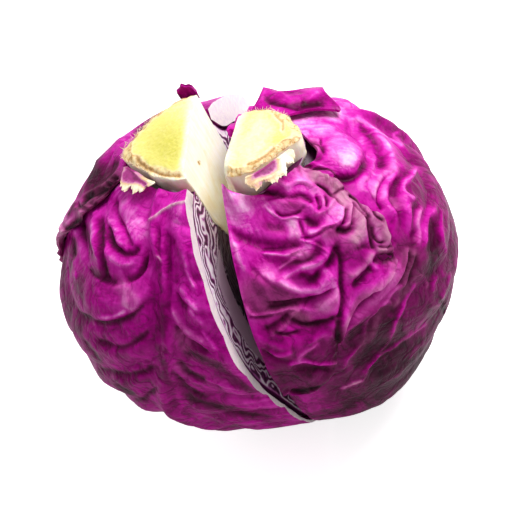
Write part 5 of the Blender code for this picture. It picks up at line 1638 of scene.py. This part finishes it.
def packed_leaves(name, side, stalk, deepening, bands):
    """Dome and cut face of one half's inner leaves, with room for the stalk."""
    falls = np.linspace(0.0, 180.0, 211)
    near = {LEFT: 270.0, RIGHT: -90.0}[side]
    around_fall = np.concatenate([falls, falls[-2:0:-1]])
    around_turn = np.concatenate([np.full(211, near), np.full(209, 90.0)])
    way = direction(around_fall, around_turn)
    reach = skin(way) - HEART_BELOW_SKIN - deepening(around_fall, around_turn)
    share = 1.0 - np.linspace(0.0, 0.985, 84)[:, None] ** 1.25
    face = share[..., None] * (way * reach[:, None])[None]
    face[..., 0] = 0.0
    face[0] = press_flat(face[0], HEART_OFF_TABLE)
    face[..., 2] = np.maximum(face[..., 2], face[0, :, 2].min())
    depth = (reach[None, :] + HEART_BELOW_SKIN - share * reach) / MM
    spots = np.concatenate([0 * face[..., :1] + 3 * side * MM, face[..., 1:]], -1)
    winding = 1.4 * noise(spots, 7 * MM, 61) + 0.7 * noise(spots, 3.6 * MM, 67)
    layer = depth / 3.8 + winding * smooth_step((depth - 4.5) / 3.0)
    band = bands(depth, face)
    layer = np.where(band > 0.5, 0.5, layer)
    skins = 1.0 - smooth_step(np.abs(layer - np.round(layer)) / 0.2)
    behind = stalk_half_width(side, stalk, face[..., 2], face[..., 1])
    sunk = 0.15 * MM + 0.35 * MM * skins + 0.1 * MM * (1 + noise(spots, 3 * MM, 71))
    face[..., 0] = side * np.where(behind > 0.0, behind + 0.4 * MM, sunk)
    # Painted shade: the cut face turns dark deeper than 26 mm and lower than 40 mm, in the gap between the halves.
    gap_shade = 0.9 * smooth_step((depth - 26.0) / 3.0) * (face[..., 2] < 40 * MM)
    turns = np.linspace(near, 90.0, 15)[1:-1]
    dome_way = direction(falls[:, None], turns[None, :])
    deeper = deepening(falls[:, None], turns[None, :] + 0 * falls[:, None])
    dome_reach = skin(dome_way) - HEART_BELOW_SKIN - deeper
    dome = press_flat(dome_way * dome_reach[..., None], HEART_OFF_TABLE)
    return join_heart(name, side, face, dome, {"layer": layer, "band": band, "gap_shade": gap_shade})


def join_heart(name, side, face, dome, values):
    """One closed piece: rings of the cut face, its middle, and the dome sewn to its outline."""
    rings, count = face.shape[:2]
    falls, turns = dome.shape[:2]
    points = np.concatenate([face.reshape(-1, 3), face[-1].mean(0)[None], dome.reshape(-1, 3)])
    faces = tube_faces(rings, count)
    inmost = (rings - 1) * count + np.arange(count)
    faces.append(np.stack([inmost, np.roll(inmost, -1), np.full(count, rings * count)], -1))
    first = rings * count + 1
    near_edge = np.arange(falls)
    far_edge = np.concatenate([[0], np.arange(count - 1, falls - 1, -1), [falls - 1]])
    inner = first + np.arange(falls * turns).reshape(falls, turns)
    sheet = np.concatenate([near_edge[:, None], inner, far_edge[:, None]], 1)
    corner, side_of = sheet[:-1, :-1].reshape(-1), sheet[:-1, 1:].reshape(-1)
    below, across = sheet[1:, :-1].reshape(-1), sheet[1:, 1:].reshape(-1)
    faces += [np.stack([corner, side_of, across], -1), np.stack([corner, across, below], -1)]
    faces = np.concatenate(faces)
    real = (faces[:, 0] != faces[:, 1]) & (faces[:, 1] != faces[:, 2]) & (faces[:, 0] != faces[:, 2])
    spread = {}
    for key, value in values.items():
        spread[key] = np.concatenate([value.reshape(-1), [value[-1].mean()], np.zeros(falls * turns)])
    return make_mesh(name, stand(points, side), faces[real], [PACKED], None, spread, smooth_angle=60)


def left_bands(depth, face):
    """The thick pale rib of one inner leaf, cut along its length on the near side."""
    height = face[..., 2]
    inside = smooth_step((depth - 15.6) / 0.8) * (1.0 - smooth_step((depth - 26.0) / 1.6))
    along = smooth_step((36.0 * MM - height) / (6 * MM)) * smooth_step((height + 62 * MM) / (8 * MM))
    return inside * along * (face[..., 1] < 0.0)


def no_bands(depth, face):
    return 0.0 * depth


def left_heart_depth(fall, turn):
    """Room under the split stem, and the swelling under the leaf that is thick by the knife."""
    room = np.maximum(petiole(fall, turn, PETIOLE_INSIDE) + PETIOLE_ROOM, 0.0) * (turn < 180.0)
    return room - KNIFE_SIDE_SHARE * knife_side(fall, turn)


left_heart = packed_leaves("left_heart_fine", LEFT, LEFT_STALK,
                           left_heart_depth, left_bands)
right_heart = packed_leaves("right_heart_fine", RIGHT, RIGHT_STALK,
                            far_hollow, no_bands)

# %% [markdown]
# ## Frayed fibres round the stumps
# A saw and a dry week leave a fringe of short stiff fibres on a stump's rim. They are all alike and
# follow one line, so Geometry Nodes set them: points along the rim, a thin cone on each, turned and
# sized at random with a fixed seed. The result is made a plain mesh.

# %% Fibre tree
def fibre_tree():
    """Short thin cones along the edges of the given mesh."""
    tree = bpy.data.node_groups.new("frayed_fibres", "GeometryNodeTree")
    face = tree.interface
    face.new_socket("Geometry", in_out="INPUT", socket_type="NodeSocketGeometry")
    for name, kind, value in (("Count", "NodeSocketInt", 80), ("Length", "NodeSocketFloat", 0.002),
                              ("Thickness", "NodeSocketFloat", 0.0002), ("Seed", "NodeSocketInt", 3)):
        face.new_socket(name, in_out="INPUT", socket_type=kind).default_value = value
    face.new_socket("Finish", in_out="INPUT", socket_type="NodeSocketMaterial")
    face.new_socket("Geometry", in_out="OUTPUT", socket_type="NodeSocketGeometry")
    given, result = tree.nodes.new("NodeGroupInput"), tree.nodes.new("NodeGroupOutput")
    line = add_node(tree, "GeometryNodeMeshToCurve", {"Mesh": given.outputs["Geometry"]})
    points = add_node(tree, "GeometryNodeResampleCurve", {"Curve": line.outputs[0],
                                                          "Count": given.outputs["Count"]})
    cone = add_node(tree, "GeometryNodeMeshCone", {"Vertices": 5, "Radius Top": 0.00003,
                                                   "Radius Bottom": given.outputs["Thickness"],
                                                   "Depth": given.outputs["Length"]})
    seed = {"Seed": given.outputs["Seed"]}
    turn = add_node(tree, "FunctionNodeRandomValue", seed, data_type="FLOAT_VECTOR")
    turn.inputs[0].default_value = (-1.1, -1.1, 0.0)
    turn.inputs[1].default_value = (1.1, 1.1, 6.28)
    size = add_node(tree, "FunctionNodeRandomValue", seed, data_type="FLOAT")
    size.inputs[2].default_value = 0.35
    size.inputs[3].default_value = 1.2
    placed = add_node(tree, "GeometryNodeInstanceOnPoints",
                      {"Points": points.outputs[0], "Instance": cone.outputs[0],
                       "Rotation": turn.outputs[0], "Scale": size.outputs[1]})
    plain = add_node(tree, "GeometryNodeRealizeInstances", {0: placed.outputs[0]})
    finished = add_node(tree, "GeometryNodeSetMaterial", {"Geometry": plain.outputs[0],
                                                          "Material": given.outputs["Finish"]})
    tree.links.new(finished.outputs[0], result.inputs[0])
    return tree


FIBRES = fibre_tree()


# %% Fibres on both rims
def set_inputs(modifier, tree, **values):
    """Set a modifier's inputs by their sockets' identifiers."""
    for item in tree.interface.items_tree:
        if item.item_type == "SOCKET" and item.in_out == "INPUT" and item.name in values:
            modifier[item.identifier] = values[item.name]


def rim_fibres(name, side, stalk, count, length, seed):
    """A fringe along the arc of one stump's rim."""
    top = stalk[2]
    outline = stalk_outline(side, stalk, top - RIM_DROP, 120)
    outline = np.roll(outline, -30 if side == LEFT else -90, 0)
    outline = outline[np.abs(outline[:, 0]) > 9 * MM]
    rim = stand(np.concatenate([outline, np.full((len(outline), 1), top - 0.9 * MM)], -1), side)
    mesh = bpy.data.meshes.new(name)
    mesh.from_pydata(rim.tolist(), [(k, k + 1) for k in range(len(rim) - 1)], [])
    line = add_object(name + "_line", mesh)
    modifier = line.modifiers.new("fibres", "NODES")
    modifier.node_group = FIBRES
    set_inputs(modifier, FIBRES, Count=count, Length=length, Thickness=0.16 * MM, Seed=seed,
               Finish=STALK_FLESH)
    evaluated = line.evaluated_get(bpy.context.evaluated_depsgraph_get())
    fibres = add_object(name, bpy.data.meshes.new_from_object(evaluated))
    bpy.data.objects.remove(line)
    for value_name, value in (("tone", 0.2), ("dry", 0.35)):
        attribute = fibres.data.attributes.new(value_name, "FLOAT", "POINT")
        attribute.data.foreach_set("value", np.full(len(fibres.data.vertices), value, np.float32))
    print(name, "has", len(fibres.data.polygons), "faces")
    return fibres


left_fibres = rim_fibres("left_rim_fibres", LEFT, LEFT_STALK, 130, 1.9 * MM, 3)
right_fibres = rim_fibres("right_rim_fibres", RIGHT, RIGHT_STALK, 110, 1.6 * MM, 8)

# %% [markdown]
# ## Join the pieces to the model
# Each fine piece stands for its solid. Nothing on a cabbage moves, so all ride on the one body.

# %% Ride and replace
FINE_PIECES = [
    (left_front, "leaf", "left_front_leaf"), (left_back, "leaf", "left_back_leaf"),
    (right_back, "leaf", "right_back_leaf"), (right_front, "leaf", "right_front_leaf"),
    (right_top, "leaf", "right_top_leaf"), (left_top, "leaf", "left_top_leaf"),
    (left_base, "torn_base", "left_leaf_base"), (right_base, "torn_base", "right_leaf_base"),
    (left_stalk, "stalk", "left_stalk"), (right_stalk, "stalk", "right_stalk"),
    (left_heart, "packed_leaves", "left_heart"), (right_heart, "packed_leaves", "right_heart"),
]
for piece, slot_name, node in FINE_PIECES:
    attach(piece, "root")
    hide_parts(node)
for piece in (left_fibres, right_fibres):
    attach(piece, "root")
print("triangles in all:", sum(len(piece.data.polygons) for piece, _, _ in FINE_PIECES))

# %% [markdown]
# ## Floor and light
# The photograph is bright and almost without shadow: a large soft light above, a little to the right
# of the camera, a weak one from the left, and a white surround. The lights stand still, so every side
# of the cabbage is lit like a thing in a room.

# %% Floor, surround and lamps
def make_floor():
    mesh = bpy.data.meshes.new("floor")
    half = 12.0
    mesh.from_pydata([(-half, -half, 0), (half, -half, 0), (half, half, 0), (-half, half, 0)], [], [(0, 1, 2, 3)])
    floor = add_object("floor", mesh)
    material, tree, shader = new_material("pale_floor")
    cloud = use_effect(tree, MOTTLE, Scale=4.0, Roughness=0.5, Amount=0.05)
    pale_stops = [(0.0, (242, 242, 242)), (1.0, (248, 248, 248))]
    colour = colour_ramp(tree, calculate(tree, "ADD", cloud, 0.5), pale_stops)
    tree.links.new(colour, shader.inputs["Base Color"])
    shader.inputs["Roughness"].default_value = 0.8
    shader.inputs["Specular IOR Level"].default_value = 0.1
    seen = tree.nodes.new("ShaderNodeLightPath").outputs["Is Camera Ray"]
    tree.links.new(calculate(tree, "MULTIPLY", seen, 0.75), shader.inputs["Emission Strength"])
    shader.inputs["Emission Color"].default_value = (1.0, 1.0, 1.0, 1.0)
    mesh.materials.append(material)
    return floor


def soft_lamp(name, place, size, power):
    """A square lamp that faces the middle of the cabbage."""
    data = bpy.data.lights.new(name, "AREA")
    data.size = size
    data.energy = power
    lamp = add_object(name, data)
    lamp.location = place
    aim = Vector(TARGET.tolist()) - lamp.location
    lamp.rotation_euler = aim.to_track_quat("-Z", "Y").to_euler()


make_floor()
key_way = 0.20 * camera_right + 0.80 * camera_up + 0.50 * toward_camera
key_way /= np.linalg.norm(key_way)
fill_way = -0.8 * camera_right + 0.5 * camera_up + 0.4 * toward_camera
soft_lamp("key", (TARGET + 0.9 * key_way).tolist(), 0.5, 10.2)
soft_lamp("fill", (TARGET + 1.1 * fill_way).tolist(), 0.8, 1.6)
world = bpy.data.worlds.new("white_surround")
world.use_nodes = True
world.node_tree.nodes["Background"].inputs["Color"].default_value = (1.0, 1.0, 1.0, 1.0)
world.node_tree.nodes["Background"].inputs["Strength"].default_value = 0.44
bpy.context.scene.world = world
bpy.context.scene.view_settings.view_transform = "Standard"
print("key light from", key_way.round(2))
